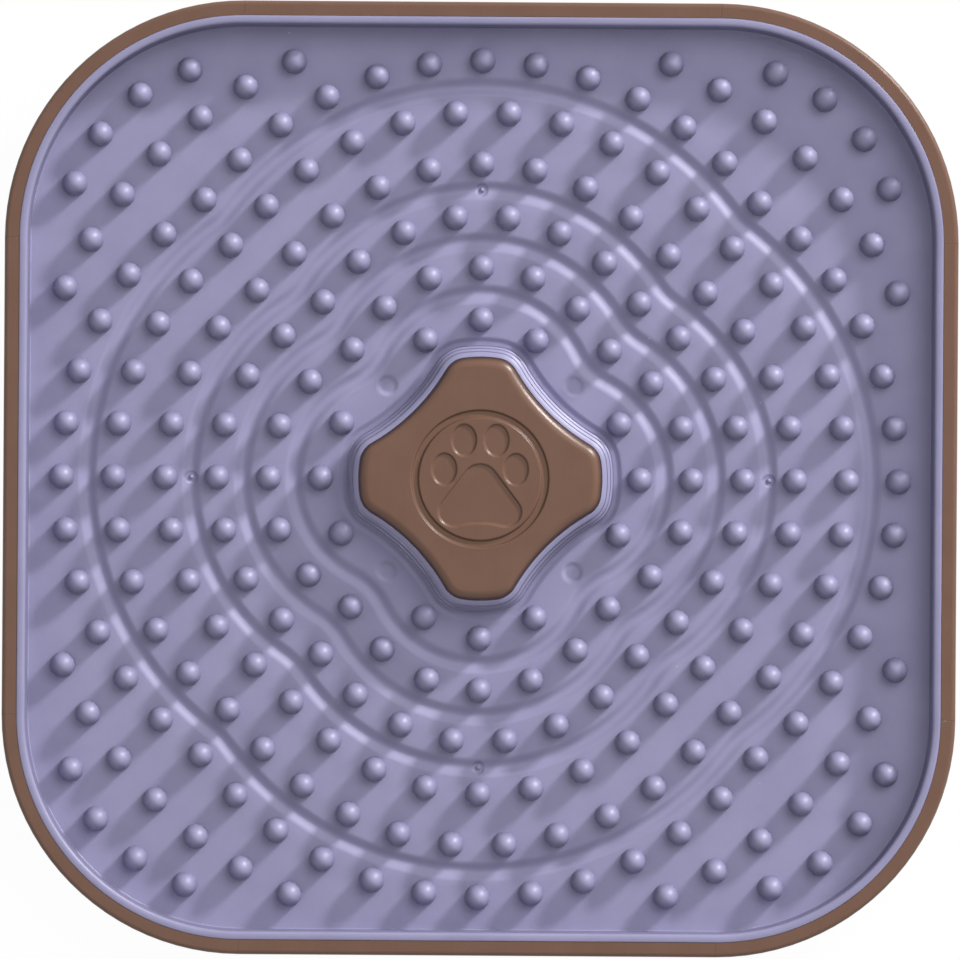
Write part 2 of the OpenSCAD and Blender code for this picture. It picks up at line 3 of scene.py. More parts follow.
import bmesh
import bpy
import numpy as np
from bpy.props import FloatProperty, FloatVectorProperty, IntProperty, PointerProperty
from bpy.types import Operator, Panel, PropertyGroup
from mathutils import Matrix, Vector


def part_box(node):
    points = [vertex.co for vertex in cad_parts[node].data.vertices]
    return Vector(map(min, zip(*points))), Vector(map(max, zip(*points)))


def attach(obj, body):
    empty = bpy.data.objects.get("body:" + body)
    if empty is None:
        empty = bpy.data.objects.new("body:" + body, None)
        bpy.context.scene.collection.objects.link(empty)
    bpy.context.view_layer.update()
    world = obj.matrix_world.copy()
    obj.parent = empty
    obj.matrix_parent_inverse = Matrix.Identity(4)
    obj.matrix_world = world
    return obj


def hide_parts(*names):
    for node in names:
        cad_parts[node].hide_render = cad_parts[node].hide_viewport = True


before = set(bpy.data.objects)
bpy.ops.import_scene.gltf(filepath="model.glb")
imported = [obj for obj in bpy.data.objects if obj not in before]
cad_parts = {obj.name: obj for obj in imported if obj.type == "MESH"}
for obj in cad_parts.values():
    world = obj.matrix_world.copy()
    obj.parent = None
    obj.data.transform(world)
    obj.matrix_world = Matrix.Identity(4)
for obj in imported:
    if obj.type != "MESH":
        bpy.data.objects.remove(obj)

bl_info = {
    "name": "Lick mat looks",
    "version": (1, 0, 0),
    "blender": (4, 5, 0),
    "location": "View3D > Sidebar > Lick mat",
    "description": "Dresses the packed lick mat: soft studded pad, hub with paw print, tray, cups and studio",
    "category": "Object",
}

MM = 0.001
PAD_LOW, PAD_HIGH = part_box("lick_pad")
HUB_LOW, HUB_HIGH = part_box("centre_hub")
TRAY_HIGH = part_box("base_tray")[1]
RIM_WALL = 3.05 * MM
# Half the width between the tray's inner walls, which the pad's outer wall meets
RIM_INSIDE = TRAY_HIGH.x - RIM_WALL
# Distance of the centres of the tray's corner arcs from both axes
CORNER_PLACE = TRAY_HIGH.x - 50 * MM
DIAGONAL = math.pi / 4
QUARTERS = [math.radians(90 * quarter) for quarter in range(4)]
CUP_NODES = (
    "suction_cup_front_left",
    "suction_cup_front_right",
    "suction_cup_rear_left",
    "suction_cup_rear_right",
)
PAD_COLUMNS = 440
HUB_COLUMNS = 560
BOSS_COLUMNS = 40
CUP_COLUMNS = 96
# Numbers of pegs in the full rings, in the row across a corner and in the outermost row
RING_PEGS = (16, 24, 30, 36, 42, 48)
CORNER_ROW_PEGS = 7
OUTER_ROW_PEGS = 4
# The ring of pegs, counted from 0, whose outer groove holds the gate pits
GATE_RING = 2
# Edges that turn by more than this are sharp, in the stud tree's pieces and in all others
STUD_SHARP = math.radians(60)
SHARP = math.radians(50)


def length(name, description, millimetres):
    """A size in metres, given here in millimetres."""
    return FloatProperty(
        name=name, description=description, default=millimetres * MM, min=0.0, unit="LENGTH", precision=5
    )


def place(name, description, across, along):
    """A place seen from above, in metres, given here in millimetres."""
    default = across * MM, along * MM
    return FloatVectorProperty(
        name=name, description=description, default=default, size=2, unit="LENGTH", precision=5
    )


def angle(name, description, degrees):
    """An angle in radians, given here in degrees."""
    return FloatProperty(name=name, description=description, default=math.radians(degrees), unit="ROTATION")


def level(name, description, value):
    """A light's strength; at 1 it would show a level white floor as white without other lights."""
    return FloatProperty(name=name, description=description, default=value, min=0.0, precision=3)


def colour(name, description, value):
    return FloatVectorProperty(
        name=name, description=description, default=value, size=3, min=0.0, max=1.0, subtype="COLOR"
    )


def share(name, description, value):
    return FloatProperty(
        name=name, description=description, default=value, min=0.0, max=1.0, subtype="FACTOR"
    )


# Sizes and colours


class PadSettings(PropertyGroup):
    """Sizes of the soft pad."""

    floor_thickness: length("Floor thickness", "Thickness of the pad's floor", 2.0)
    corner_radius: length("Corner radius", "Radius of the pad's outer corners", 46.92)
    wall_gap: length("Wall gap", "Clearance between the pad and the tray's rim", 0.03)
    lip_width: length("Lip width", "Thickness of the outer wall at its lip", 1.84)
    lip_edge: length("Lip edge", "Rounding of the lip's inner edge", 0.8)
    lip_outer: length("Lip outer edge", "Rounding of the lip's outer edge", 0.22)
    lip_crown: length("Lip crown", "How much the middle of the lip stands over its edges", 0.03)
    wall_draft: length("Wall draft", "How much thicker the wall is at its foot", 0.05)
    foot_fillet: length("Foot fillet", "Fillet between the wall and the floor", 0.25)
    fit_gap: length("Fit gap", "Clearance round the hub", 0.03)
    collar_lip: length("Collar lip", "Thickness of the collar at its lip", 1.14)
    collar_waist: length("Collar waist", "Thickness of the collar below its lip", 1.86)
    collar_foot: length("Collar foot", "Thickness of the collar at its foot", 2.42)
    collar_edge: length("Collar edge", "Rounding of the collar's steps", 0.32)
    collar_inner: length("Collar inner edge", "Rounding of the collar's edge along the hub", 0.15)
    collar_crease: length("Collar crease", "Width and depth of the crease at the foot of a step", 0.13)
    collar_slope: share("Collar slope", "Fall of a step of the collar for its width", 0.7)
    collar_low: share("Low step", "Height of the collar's low step, for the collar's height", 0.36)
    collar_middle: share("Middle step", "Height of its middle step, for the collar's height", 0.68)
    moat_width: length("Moat width", "Width of the moat round the collar", 2.7)
    moat_depth: length("Moat depth", "Depth of the moat", 0.45)
    moat_bed: share("Moat bed", "Share of the moat's width that is level", 0.3)
    moat_side: share("Moat side", "Share of the moat's width that its outer side takes", 0.48)
    first_ring: length("First ring", "Radius of the first ring of pegs on the mat's axes", 33.6)
    ring_step: length("Ring step", "Distance from one ring of pegs to the next", 10.9)
    lobe_offset: length("Lobe offset", "Distance of the lobes' centres from the middle", 16.0)
    waist_radius: length("Waist radius", "Radius of the waist between two lobes", 15.0)
    ring_ease: length("Ring ease", "Greatest shift of a peg along its ring", 0.45)
    groove_width: length("Groove width", "Width of a groove between two rings", 4.5)
    groove_depth: length("Groove depth", "Depth of a groove", 0.78)
    gate_pit: length("Gate pit", "Diameter of the moulding gate's pit", 2.4)
    gate_pit_depth: length("Gate pit depth", "Depth of the gate's pit below the groove", 0.2)
    gate_pit_soft: length("Gate pit softness", "Width over which the pit's edge is rounded", 0.3)
    pin_mark: length("Pin mark", "Diameter of an ejector pin's mark", 4.7)
    pin_mark_depth: length("Pin mark depth", "Depth of an ejector pin's mark", 0.38)
    pin_mark_soft: length("Pin mark softness", "Width over which the mark's edge is rounded", 1.0)
    pin_mark_place: length("Pin mark place", "Distance of the pin marks from the middle", 27.7)


class PegSettings(PropertyGroup):
    """Sizes of the pegs and of the gate stubs."""

    diameter: length("Peg diameter", "Diameter of a peg", 5.5)
    height: length("Peg height", "Height of a peg with its dome", 5.4)
    draft: length("Draft", "How much narrower a peg is where its dome starts", 0.2)
    dome: length("Dome", "Height of a peg's dome", 3.2)
    sunk: length("Sunk", "How far a peg reaches into the floor", 0.3)
    corner_row_gap: length("Corner row gap", "From the last full ring to the row across a corner", 8.1)
    corner_row_step: length("Corner row step", "Step between pegs in the row across a corner", 11.55)
    outer_row_radius: length("Outer row radius", "Radius of the outermost row in a corner", 37.6)
    outer_row_step: length("Outer row step", "Step between pegs in the outermost row", 11.8)
    stub_diameter: length("Stub diameter", "Diameter of a gate stub", 1.1)
    stub_height: length("Stub height", "Height of a gate stub above the groove's bed", 0.5)
    stub_draft: length("Stub draft", "How much narrower a stub is where its dome starts", 0.1)
    stub_dome: length("Stub dome", "Height of a stub's dome", 0.35)
    stub_sunk: length("Stub sunk", "How far a stub reaches into its pit", 0.15)
    sides: IntProperty(name="Sides", description="Sides of a peg's round", default=12, min=8, max=16)
    seed: IntProperty(name="Seed", description="Seed of the pegs' small differences", default=7)


class HubSettings(PropertyGroup):
    """Sizes of the centre hub."""

    waist: length("Waist", "Distance of the hub's waist from its middle", 19.85)
    flank_radius: length("Flank radius", "Radius of the hollow flank between two arms", 42.8)
    tip_radius: length("Tip radius", "Radius of the corners of an arm's tip", 5.0)
    edge_round: length("Edge round", "Width of the rounding along the hub's top edge", 2.15)
    edge_drop: length("Edge drop", "Height of the rounding along the hub's top edge", 2.05)
    bevel: length("Bevel", "Bevel of the hub's lower edges, half of the one under its top", 0.2)
    wall: length("Wall", "Thickness of the hub's side wall", 2.0)
    top: length("Top", "Thickness of the hub's top", 2.4)
    ring_radius: length("Ring radius", "Radius of the sunk ring, at the middle of its width", 13.65)
    ring_width: length("Ring width", "Width of the sunk ring", 1.42)
    ring_depth: length("Ring depth", "Depth of the sunk ring", 0.6)
    edge_soft: length("Edge softness", "Width over which the sunk edges are rounded", 0.5)
    boss_diameter: length("Boss diameter", "Diameter of the screw bosses", 6.5)
    boss_place: length("Boss place", "Distance of the bosses from the middle", 14.0)
    boss_bore: length("Boss bore", "Diameter of the bosses' bores", 3.1)
    boss_bore_depth: length("Boss bore depth", "Depth of the bosses' bores", 8.7)
    boss_bevel: length("Boss bevel", "Bevel of a boss and its bore", 0.3)


class PawSettings(PropertyGroup):
    """Sizes of the paw print, with its places seen from the hub's middle."""

    depth: length("Depth", "Depth of the paw print", 0.5)
    inner_toe: place("Inner toe", "Middle of the inner toe on the right", 3.4, 8.1)
    outer_toe: place("Outer toe", "Middle of the outer toe on the right", 7.5, 2.0)
    toe_width: length("Toe width", "Half the width of a toe", 2.55)
    toe_length: length("Toe length", "Half the length of a toe", 3.3)
    heel_top: place("Heel top", "Centre of the arc at the top of the heel", 0.0, -0.8)
    heel_top_radius: length("Heel top radius", "Radius of the arc at the top of the heel", 3.9)
    heel_side: place("Heel side", "Centre of the arc at the heel's right end", 5.6, -6.9)
    heel_side_radius: length("Heel side radius", "Radius of the arcs at the heel's ends", 3.1)
    heel_arch: length("Heel arch", "Rise of the arched lower edge of the heel", 0.7)


class CupSettings(PropertyGroup):
    """Sizes of a suction cup."""

    lip: length("Lip", "Thickness of the cup's lip", 0.8)
    lip_flat: length("Lip flat", "Width of the lip's flat", 1.0)
    hollow: length("Hollow", "Depth of the hollow", 2.4)
    shoulder_diameter: length("Shoulder diameter", "Diameter of the shoulder", 11.0)
    shoulder: length("Shoulder", "Height of the shoulder", 0.8)
    shoulder_bevel: length("Shoulder bevel", "Bevel of the shoulder", 0.2)
    neck_diameter: length("Neck diameter", "Diameter of the neck", 6.4)
    neck: length("Neck", "Height of the neck", 2.0)
    neck_bevel: length("Neck bevel", "Bevel at the neck's ends", 0.1)
    head_diameter: length("Head diameter", "Diameter of the head", 9.5)
    head: length("Head", "Height of the head", 2.0)
    head_bevel: length("Head bevel", "Bevel under the head", 0.25)


class FinishSettings(PropertyGroup):
    """Colours and roughness of the finishes."""

    pad: colour("Pad", "Lavender of the soft pad", (0.296, 0.281, 0.441))
    # The pad's darker tone, which darker still is also the painted shade on its steep sides
    pad_deep_and_shade: colour("Pad deep", "Darker tone of the pad's mottling", (0.268, 0.254, 0.405))
    dust: colour("Dust", "Dust and moulding specks on the pad", (0.48, 0.46, 0.58))
    tray: colour("Tray", "Brown of the tray and the hub", (0.166, 0.086, 0.057))
    # The brown's darker tone, which is also the base of the painted shade on its steep sides
    tray_deep_and_shade: colour("Tray deep", "Darker tone of the brown", (0.142, 0.072, 0.046))
    tray_dust: colour("Tray dust", "Specks on the brown plastic", (0.42, 0.31, 0.25))
    seam: colour("Seam", "Mould seams across the rim", (0.07, 0.04, 0.03))
    cup: colour("Cup", "Milky rubber of the cups", (0.60, 0.62, 0.70))
    steel: colour("Steel", "Zinc plated steel of the screws", (0.60, 0.60, 0.62))
    pad_rough: share("Pad roughness", "Roughness of the pad", 0.47)
    tray_rough: share("Tray roughness", "Roughness of the brown plastic", 0.33)
    cup_rough: share("Cup roughness", "Roughness of the cups", 0.30)
    steel_rough: share("Steel roughness", "Roughness of the screws", 0.34)


class StageSettings(PropertyGroup):
    """Camera, light and floor."""

    eye: place("Camera place", "Place of the camera over the mat", -0.02, -0.132)
    distance: length("Camera distance", "Height of the camera over the rim", 2000.0)
    frame_width: length("Frame width", "Width of the view at the rim", 201.2)
    turn: angle("Turn", "Turn of the camera about its own line", 0.3956)
    light_turn: angle("Light direction", "Where the lamps hang, from +X towards +Y", 45.0)
    key_rise: angle("Key lamp rise", "Above the horizon", 21.5)
    key_level: level("Key lamp level", "Light of the lamp that throws the shadows", 0.32)
    key_width: length("Key lamp width", "Width of the key lamp and the side lamp", 580.0)
    key_height: length("Key lamp height", "Height of the key lamp", 240.0)
    soft_rise: angle("Soft box rise", "Above the horizon", 62.0)
    soft_level: level("Soft box level", "Light of the soft box", 0.32)
    soft_size: length("Soft box size", "Width of the soft box", 1600.0)
    side_rise: angle("Side lamp rise", "Above the horizon", 9.0)
    side_level: level("Side lamp level", "Light of the low lamp without shadows", 0.075)
    fill_level: level("Fill level", "Even light from all round", 0.34)
    horizon: share("Horizon", "Even light at the horizon, as a share of its mean", 0.3)
    floor_glow: share("Floor glow", "Share of the floor's white that shadows leave alone", 0.97)


class LickMatSettings(PropertyGroup):
    """All settings of the lick mat."""

    pad: PointerProperty(type=PadSettings, name="Pad", description="Soft pad")
    pegs: PointerProperty(type=PegSettings, name="Pegs", description="Pegs and gate stubs")
    hub: PointerProperty(type=HubSettings, name="Hub", description="Centre hub")
    paw: PointerProperty(type=PawSettings, name="Paw", description="Paw print on the hub")
    cup: PointerProperty(type=CupSettings, name="Cups", description="Suction cups")
    finish: PointerProperty(type=FinishSettings, name="Finish", description="Colours and roughness")
    stage: PointerProperty(type=StageSettings, name="Stage", description="Camera, light and floor")


def settings():
    """The lick mat's settings in this scene."""
    return bpy.context.scene.lick_mat


# Outlines seen from above


def all_round(columns):
    """Even directions all round."""
    return np.linspace(0, 2 * math.pi, columns, endpoint=False)


def on_circle(radius, turn):
    return radius * math.cos(turn), radius * math.sin(turn)


def off_axis(directions):
    """Angle of each direction from the nearest of the mat's axes, 0 to 45 degrees, in radians."""
    quarter = math.pi / 2
    return np.abs((directions + quarter / 2) % quarter - quarter / 2)


def half_chord(distance, turn, radius):
    """Half of what a circle at this distance and turn cuts off a ray from the middle."""
    return np.sqrt(np.maximum(radius**2 - (distance * np.sin(turn)) ** 2, 0))


def far_side(distance, turn, radius):
    """Where a ray from the middle leaves a circle that lies at this distance and turn."""
    return distance * np.cos(turn) + half_chord(distance, turn, radius)


def near_side(distance, turn, radius):
    """Where a ray from the middle meets the near side of a circle."""
    return distance * np.cos(turn) - half_chord(distance, turn, radius)


def hub_edge(directions, reach):
    """Distance of the hub's outline from the middle, moved outwards by reach."""
    hub = settings().hub
    tip = HUB_HIGH.x
    corner = tip - hub.tip_radius
    flank = hub.waist + hub.flank_radius
    both = hub.flank_radius + hub.tip_radius
    turn = DIAGONAL - math.acos((corner**2 + flank**2 - both**2) / (2 * corner * flank))
    corner_at, flank_at = Vector(on_circle(corner, turn)), Vector(on_circle(flank, DIAGONAL))
    joint = corner_at + (flank_at - corner_at).normalized() * (hub.tip_radius + reach)
    off = off_axis(directions)
    round_corner = far_side(corner, off - turn, hub.tip_radius + reach)
    hollow = near_side(flank, DIAGONAL - off, hub.flank_radius - reach)
    side = np.where(off <= math.atan2(joint.y, joint.x), round_corner, hollow)
    return np.where(off <= turn, tip + reach, side)


def lobed_edge(directions, ring, reach=0.0):
    """Distance of a lobed ring from the middle: four arcs, joined by a small waist on each diagonal."""
    pad = settings().pad
    lobe = ring - pad.lobe_offset
    half = pad.lobe_offset * math.sqrt(0.5)
    waist = half + math.sqrt((lobe + pad.waist_radius) ** 2 - half**2)
    x, y = on_circle(waist, DIAGONAL)
    joint_x, joint_y = on_circle(lobe + reach, math.atan2(y, x - pad.lobe_offset))
    off = off_axis(directions)
    return np.where(
        off <= math.atan2(joint_y, pad.lobe_offset + joint_x),
        far_side(pad.lobe_offset, off, lobe + reach),
        near_side(waist, DIAGONAL - off, pad.waist_radius - reach),
    )


def square_edge(directions, half, corner_radius):
    """Distance of a rounded square's outline from the middle."""
    off = off_axis(directions)
    straight = half - corner_radius
    corner = far_side(straight * math.sqrt(2), DIAGONAL - off, corner_radius)
    return np.where(np.tan(off) * half <= straight, half / np.cos(off), corner)


def groove_radius(ring):
    """Radius on the axes of the groove outside a ring of pegs."""
    pad = settings().pad
    return pad.first_ring + (ring + 0.5) * pad.ring_step


# Rows and meshes


def hub_rows(directions, places):
    """Rows along the hub's outline; each place is (distance outwards from the outline, height)."""
    return [(hub_edge(directions, reach), z) for reach, z in places]


def between(start, end, height, steps):
    """Level rows that divide the way from one row's distances to another's into steps."""
    return [(start + (end - start) * k / steps, height) for k in range(1, steps)]


def arc_steps(centre, radius, start, end, steps):
    """Points (across, height) on an arc, angles in degrees."""
    angles = np.radians(np.linspace(start, end, steps + 1))
    return [(centre[0] + radius * math.cos(a), centre[1] + radius * math.sin(a)) for a in angles]


def smooth(value):
    """Eases from 0 to 1 while the value runs from 0 to 1."""
    t = np.clip(value, 0, 1)
    return t * t * (3 - 2 * t)


def section_points(directions, section):
    """Points of all rows; a section is a list of rows, each (distances from the middle, height)."""
    cos, sin = np.cos(directions), np.sin(directions)
    rows = [np.stack([r * cos, r * sin, np.broadcast_to(z, r.shape)], axis=1) for r, z in section]
    return np.concatenate(rows)


def section_faces(rows, columns, first=0, closed=False):
    """Quads between the rows of a section that runs up its outer side and in over its top."""
    faces = []
    for row in range(rows if closed else rows - 1):
        here, above = first + row * columns, first + (row + 1) % rows * columns
        for i in range(columns):
            j = (i + 1) % columns
            faces.append((here + i, here + j, above + j, above + i))
    return faces


def closed_piece(directions, section, ends, first=0):
    """Points and faces of a section with a middle point at each end; ends are these points' heights."""
    rows, columns = len(section), len(directions)
    points = np.concatenate([section_points(directions, section), [(0, 0, z) for z in ends]])
    last, middle = first + (rows - 1) * columns, first + rows * columns
    around = [(i, (i + 1) % columns) for i in range(columns)]
    faces = section_faces(rows, columns, first)
    faces += [(middle, first + j, first + i) for i, j in around]
    faces += [(last + i, last + j, middle + 1) for i, j in around]
    return points, faces


def add_object(name, mesh):
    thing = bpy.data.objects.new(name, mesh)
    bpy.context.scene.collection.objects.link(thing)
    return thing


def add_piece(name, points, faces, material):
    """A smooth-shaded piece with its sharp edges marked."""
    mesh = bpy.data.meshes.new(name)
    mesh.from_pydata([tuple(p) for p in points], [], faces)
    mesh.shade_smooth()
    mesh.set_sharp_from_angle(angle=SHARP)
    mesh.update()
    mesh.materials.append(material)
    return add_object(name, mesh)


# Node trees and shader groups


def link(tree, source, target):
    tree.links.new(source, target)


def add_node(tree, kind, label="", **options):
    made = tree.nodes.new(kind)
    made.label = label
    for name, value in options.items():
        setattr(made, name, value)
    return made


def set_inputs(node, **values):
    """Sets a node's inputs; each value is a number, a tuple or an output socket."""
    for name, value in values.items():
        target = node.inputs[name.replace("_", " ")]
        if isinstance(value, bpy.types.NodeSocket):
            link(node.id_data, value, target)
        else:
            target.default_value = value
    return node.outputs


def math_node(tree, operation, first, second=None, third=None, clamp=False):
    """A Math node; each value is a number or an output socket. Returns its output."""
    made = add_node(tree, "ShaderNodeMath", operation=operation, use_clamp=clamp)
    for socket, value in zip(made.inputs, (first, second, third)):
        if isinstance(value, bpy.types.NodeSocket):
            link(tree, value, socket)
        elif value is not None:
            socket.default_value = value
    return made.outputs[0]


def split(tree, vector):
    """The X, Y and Z outputs of a vector."""
    return set_inputs(add_node(tree, "ShaderNodeSeparateXYZ"), Vector=vector)


def mix_colours(tree, factor, first, second):
    """Mixes two colours; each is three numbers or an output socket. Returns the output."""
    made = add_node(tree, "ShaderNodeMix", data_type="RGBA")
    link(tree, factor, made.inputs[0])
    # The colour sockets are numbers 6 and 7, and the colour output number 2
    for number, value in ((6, first), (7, second)):
        if isinstance(value, bpy.types.NodeSocket):
            link(tree, value, made.inputs[number])
        else:
            made.inputs[number].default_value = (*value, 1.0)
    return made.outputs[2]


def widen(tree, value, gain):
    """Stretches a noise about its middle value, cut off at 0 and 1."""
    return math_node(tree, "MULTIPLY_ADD", value, gain, (1 - gain) / 2, clamp=True)


def shared_tree(name, kind, inputs, outputs, fill):
    """The node tree of this name; fill lays its nodes when it is first asked for.

    Inputs and outputs are (name, socket kind, default).
    """
    tree = bpy.data.node_groups.get(name)
    if tree:
        return tree
    tree = bpy.data.node_groups.new(name, kind)
    for way, sockets in (("INPUT", inputs), ("OUTPUT", outputs)):
        for socket, socket_kind, default in sockets:
            made = tree.interface.new_socket(name=socket, in_out=way, socket_type="NodeSocket" + socket_kind)
            if default is not None:
                made.default_value = default
    fill(tree, add_node(tree, "NodeGroupInput").outputs, add_node(tree, "NodeGroupOutput").inputs)
    return tree


def lay_moulded_grain(tree, given, made):
    """Fine grain of a mould, broad unevenness and a mottle for colour and gloss."""
    noises = (
        ("Grain", "Grain Scale", 2.0, 0.5),
        ("Waves", "Wave Scale", 1.0, 0.5),
        ("Mottle", "Wave Scale", 4.0, 0.6),
    )
    grain, wave, mottle = [
        set_inputs(
            add_node(tree, "ShaderNodeTexNoise", label),
            Vector=given["Vector"], Scale=given[scale], Detail=detail, Roughness=rough,
        )["Fac"]
        for label, scale, detail, rough in noises
    ]
    waves = math_node(tree, "MULTIPLY", wave, given["Wave Share"])
    rest = math_node(tree, "SUBTRACT", 1.0, given["Wave Share"])
    link(tree, math_node(tree, "MULTIPLY_ADD", grain, rest, waves), made["Height"])
    link(tree, widen(tree, mottle, gain=3.0), made["Mottle"])


def lay_specks(tree, given, made):
    """A mask of small scattered specks, such as dust and moulding nibs."""
    cells = add_node(tree, "ShaderNodeTexVoronoi", "Scattered places")
    cells = set_inputs(cells, Vector=given["Vector"], Scale=given["Spacing Scale"])
    near = math_node(tree, "LESS_THAN", cells["Distance"], given["Size"])
    drawn = set_inputs(add_node(tree, "ShaderNodeSeparateColor"), Color=cells["Color"])
    chosen = math_node(tree, "LESS_THAN", drawn[0], given["Share"])
    link(tree, math_node(tree, "MULTIPLY", near, chosen), made["Mask"])


def lay_painted_steep_shade(tree, given, made):
    """A mask for painted shade, which grows as the normal's upright part falls below Start."""
    upright = math_node(tree, "ABSOLUTE", split(tree, given["Vector"])["Z"])
    fallen = math_node(tree, "SUBTRACT", given["Start"], upright)
    link(tree, math_node(tree, "MULTIPLY", fallen, given["Gain"], clamp=True), made["Mask"])


SHADER_GROUPS = {
    "moulded_grain": (
        (("Vector", "Vector", None), ("Grain Scale", "Float", 2400.0), ("Wave Scale", "Float", 60.0),
         ("Wave Share", "Float", 0.5)),
        (("Height", "Float", None), ("Mottle", "Float", None)),
        lay_moulded_grain,
    ),
    "specks": (
        (("Vector", "Vector", None), ("Spacing Scale", "Float", 160.0), ("Size", "Float", 0.05),
         ("Share", "Float", 0.3)),
        (("Mask", "Float", None),),
        lay_specks,
    ),
    "painted_steep_shade": (
        (("Vector", "Vector", None), ("Start", "Float", 0.85), ("Gain", "Float", 2.0)),
        (("Mask", "Float", None),),
        lay_painted_steep_shade,
    ),
}


def place_group(tree, name, vector, **values):
    """Places a shader group in a material with its own values. Returns its outputs."""
    group = shared_tree(name, "ShaderNodeTree", *SHADER_GROUPS[name])
    return set_inputs(add_node(tree, "ShaderNodeGroup", name, node_tree=group), Vector=vector, **values)


# Materials


def new_material(name, rough, metallic=0.0, gloss=0.5):
    """A material with its tree, its Principled shader and its texture coordinates."""
    if name in bpy.data.materials:
        bpy.data.materials.remove(bpy.data.materials[name])
    material = bpy.data.materials.new(name)
    material.use_nodes = True
    tree = material.node_tree
    shader = tree.nodes["Principled BSDF"]
    set_inputs(shader, Roughness=rough, Metallic=metallic, Specular_IOR_Level=gloss)
    return material, tree, shader, add_node(tree, "ShaderNodeTexCoord").outputs


def set_skin(shader, tone, mottle, height, rough, spread, depth, strength=0.5):
    """Colour, gloss that varies by this spread about its mean, and a bumpy skin of this depth."""
    tree = shader.id_data
    bump = add_node(tree, "ShaderNodeBump")
    normal = set_inputs(bump, Strength=strength, Distance=depth, Height=height)["Normal"]
    varied = math_node(tree, "MULTIPLY_ADD", mottle, spread, rough - spread / 2)
    set_inputs(shader, Base_Color=tone, Roughness=varied, Normal=normal)


def shade(value, part):
    """This part of a colour."""
    return [part * c for c in value]


def pad_material():
    """Soft lavender rubber with a satin moulded skin, and painted shade where it is steep."""
    finish = settings().finish
    material, tree, shader, coordinates = new_material("lavender_rubber", finish.pad_rough)
    at = coordinates["Object"]
    grain = place_group(tree, "moulded_grain", at, Grain_Scale=2600.0, Wave_Scale=70.0, Wave_Share=0.72)
    tone = mix_colours(tree, grain["Mottle"], finish.pad, finish.pad_deep_and_shade)
    # Painted shade: steep sides, such as the pegs' flanks and the wall's foot, turn to a darker lavender
    steep = place_group(tree, "painted_steep_shade", coordinates["Normal"], Start=0.96, Gain=1.1)
    tone = mix_colours(tree, steep["Mask"], tone, shade(finish.pad_deep_and_shade, part=0.64))
    dust = place_group(tree, "specks", at, Spacing_Scale=170.0, Size=0.03, Share=0.14)
    tone = mix_colours(tree, dust["Mask"], tone, finish.dust)
    set_skin(shader, tone, grain["Mottle"], grain["Height"], finish.pad_rough, spread=0.08, depth=0.12 * MM)
    return material


def brown_material(name, steep_shade_part, seams=False):
    """Brown moulded plastic with faint flow lines; the rim's mould seams are for the tray.

    Where it is steep and not in the hub's sunk marks, it gets painted shade: its tone falls to the given
    share of the darker brown.
    """
    finish = settings().finish
    material, tree, shader, coordinates = new_material(name, finish.tray_rough, gloss=0.40)
    at = coordinates["Object"]
    grain = place_group(tree, "moulded_grain", at, Grain_Scale=3200.0, Wave_Scale=90.0, Wave_Share=0.45)
    along = add_node(tree, "ShaderNodeMapping", "Flow lines run along Y")
    along = set_inputs(along, Vector=at, Scale=(1.0, 0.06, 1.0))["Vector"]
    flow = add_node(tree, "ShaderNodeTexNoise", "Flow lines")
    flow = set_inputs(flow, Vector=along, Scale=1500.0, Detail=2.0)["Fac"]
    # What flow lines and seams add to the grain's height, and how much of the seams' colour shows
    flow_height, seam_height, seam_share = 0.2, -0.8, 0.45
    flow_share, mark_depth = 0.3, 1.3 * MM
    lines = math_node(tree, "MULTIPLY", widen(tree, flow, gain=1.4), flow_share)
    mottle = math_node(tree, "MULTIPLY_ADD", grain["Mottle"], 1 - flow_share, lines)
    tone = mix_colours(tree, mottle, finish.tray, finish.tray_deep_and_shade)
    # Painted shade: steep sides, such as the hub's rounded edge and the tray's walls, turn to a darker brown,
    # kept off near the hub's top where the ring and paw print are sunk
    steep = place_group(tree, "painted_steep_shade", coordinates["Normal"], Start=0.97, Gain=2.0)
    below_top = math_node(tree, "SUBTRACT", HUB_HIGH.z, split(tree, at)["Z"])
    off_marks = math_node(tree, "MULTIPLY", below_top, 1 / mark_depth, clamp=True)
    deep = math_node(tree, "MULTIPLY", steep["Mask"], off_marks)
    tone = mix_colours(tree, deep, tone, shade(finish.tray_deep_and_shade, part=steep_shade_part))
    dust = place_group(tree, "specks", at, Spacing_Scale=210.0, Size=0.022, Share=0.10)
    tone = mix_colours(tree, dust["Mask"], tone, finish.tray_dust)
    height = math_node(tree, "MULTIPLY_ADD", flow, flow_height, grain["Height"])
    if seams:
        seam = seam_mask(tree, at)
        tone = mix_colours(tree, math_node(tree, "MULTIPLY", seam, seam_share), tone, finish.seam)
        height = math_node(tree, "MULTIPLY_ADD", seam, seam_height, height)
    set_skin(shader, tone, mottle, height, finish.tray_rough, spread=0.10, depth=0.05 * MM)
    return material


def seam_mask(tree, at):
    """Thin parting lines across the rim, where the straight sides meet the corners."""
    half_width, rim_width = 0.11 * MM, 3.5 * MM
    parts = split(tree, at)
    across = [math_node(tree, "ABSOLUTE", parts[name]) for name in ("X", "Y")]
    nearer = math_node(tree, "MINIMUM", *across)
    farther = math_node(tree, "MAXIMUM", *across)
    off = math_node(tree, "ABSOLUTE", math_node(tree, "SUBTRACT", nearer, CORNER_PLACE))
    thin = math_node(tree, "LESS_THAN", off, half_width)
    rim = math_node(tree, "GREATER_THAN", farther, TRAY_HIGH.x - rim_width)
    return math_node(tree, "MULTIPLY", thin, rim)


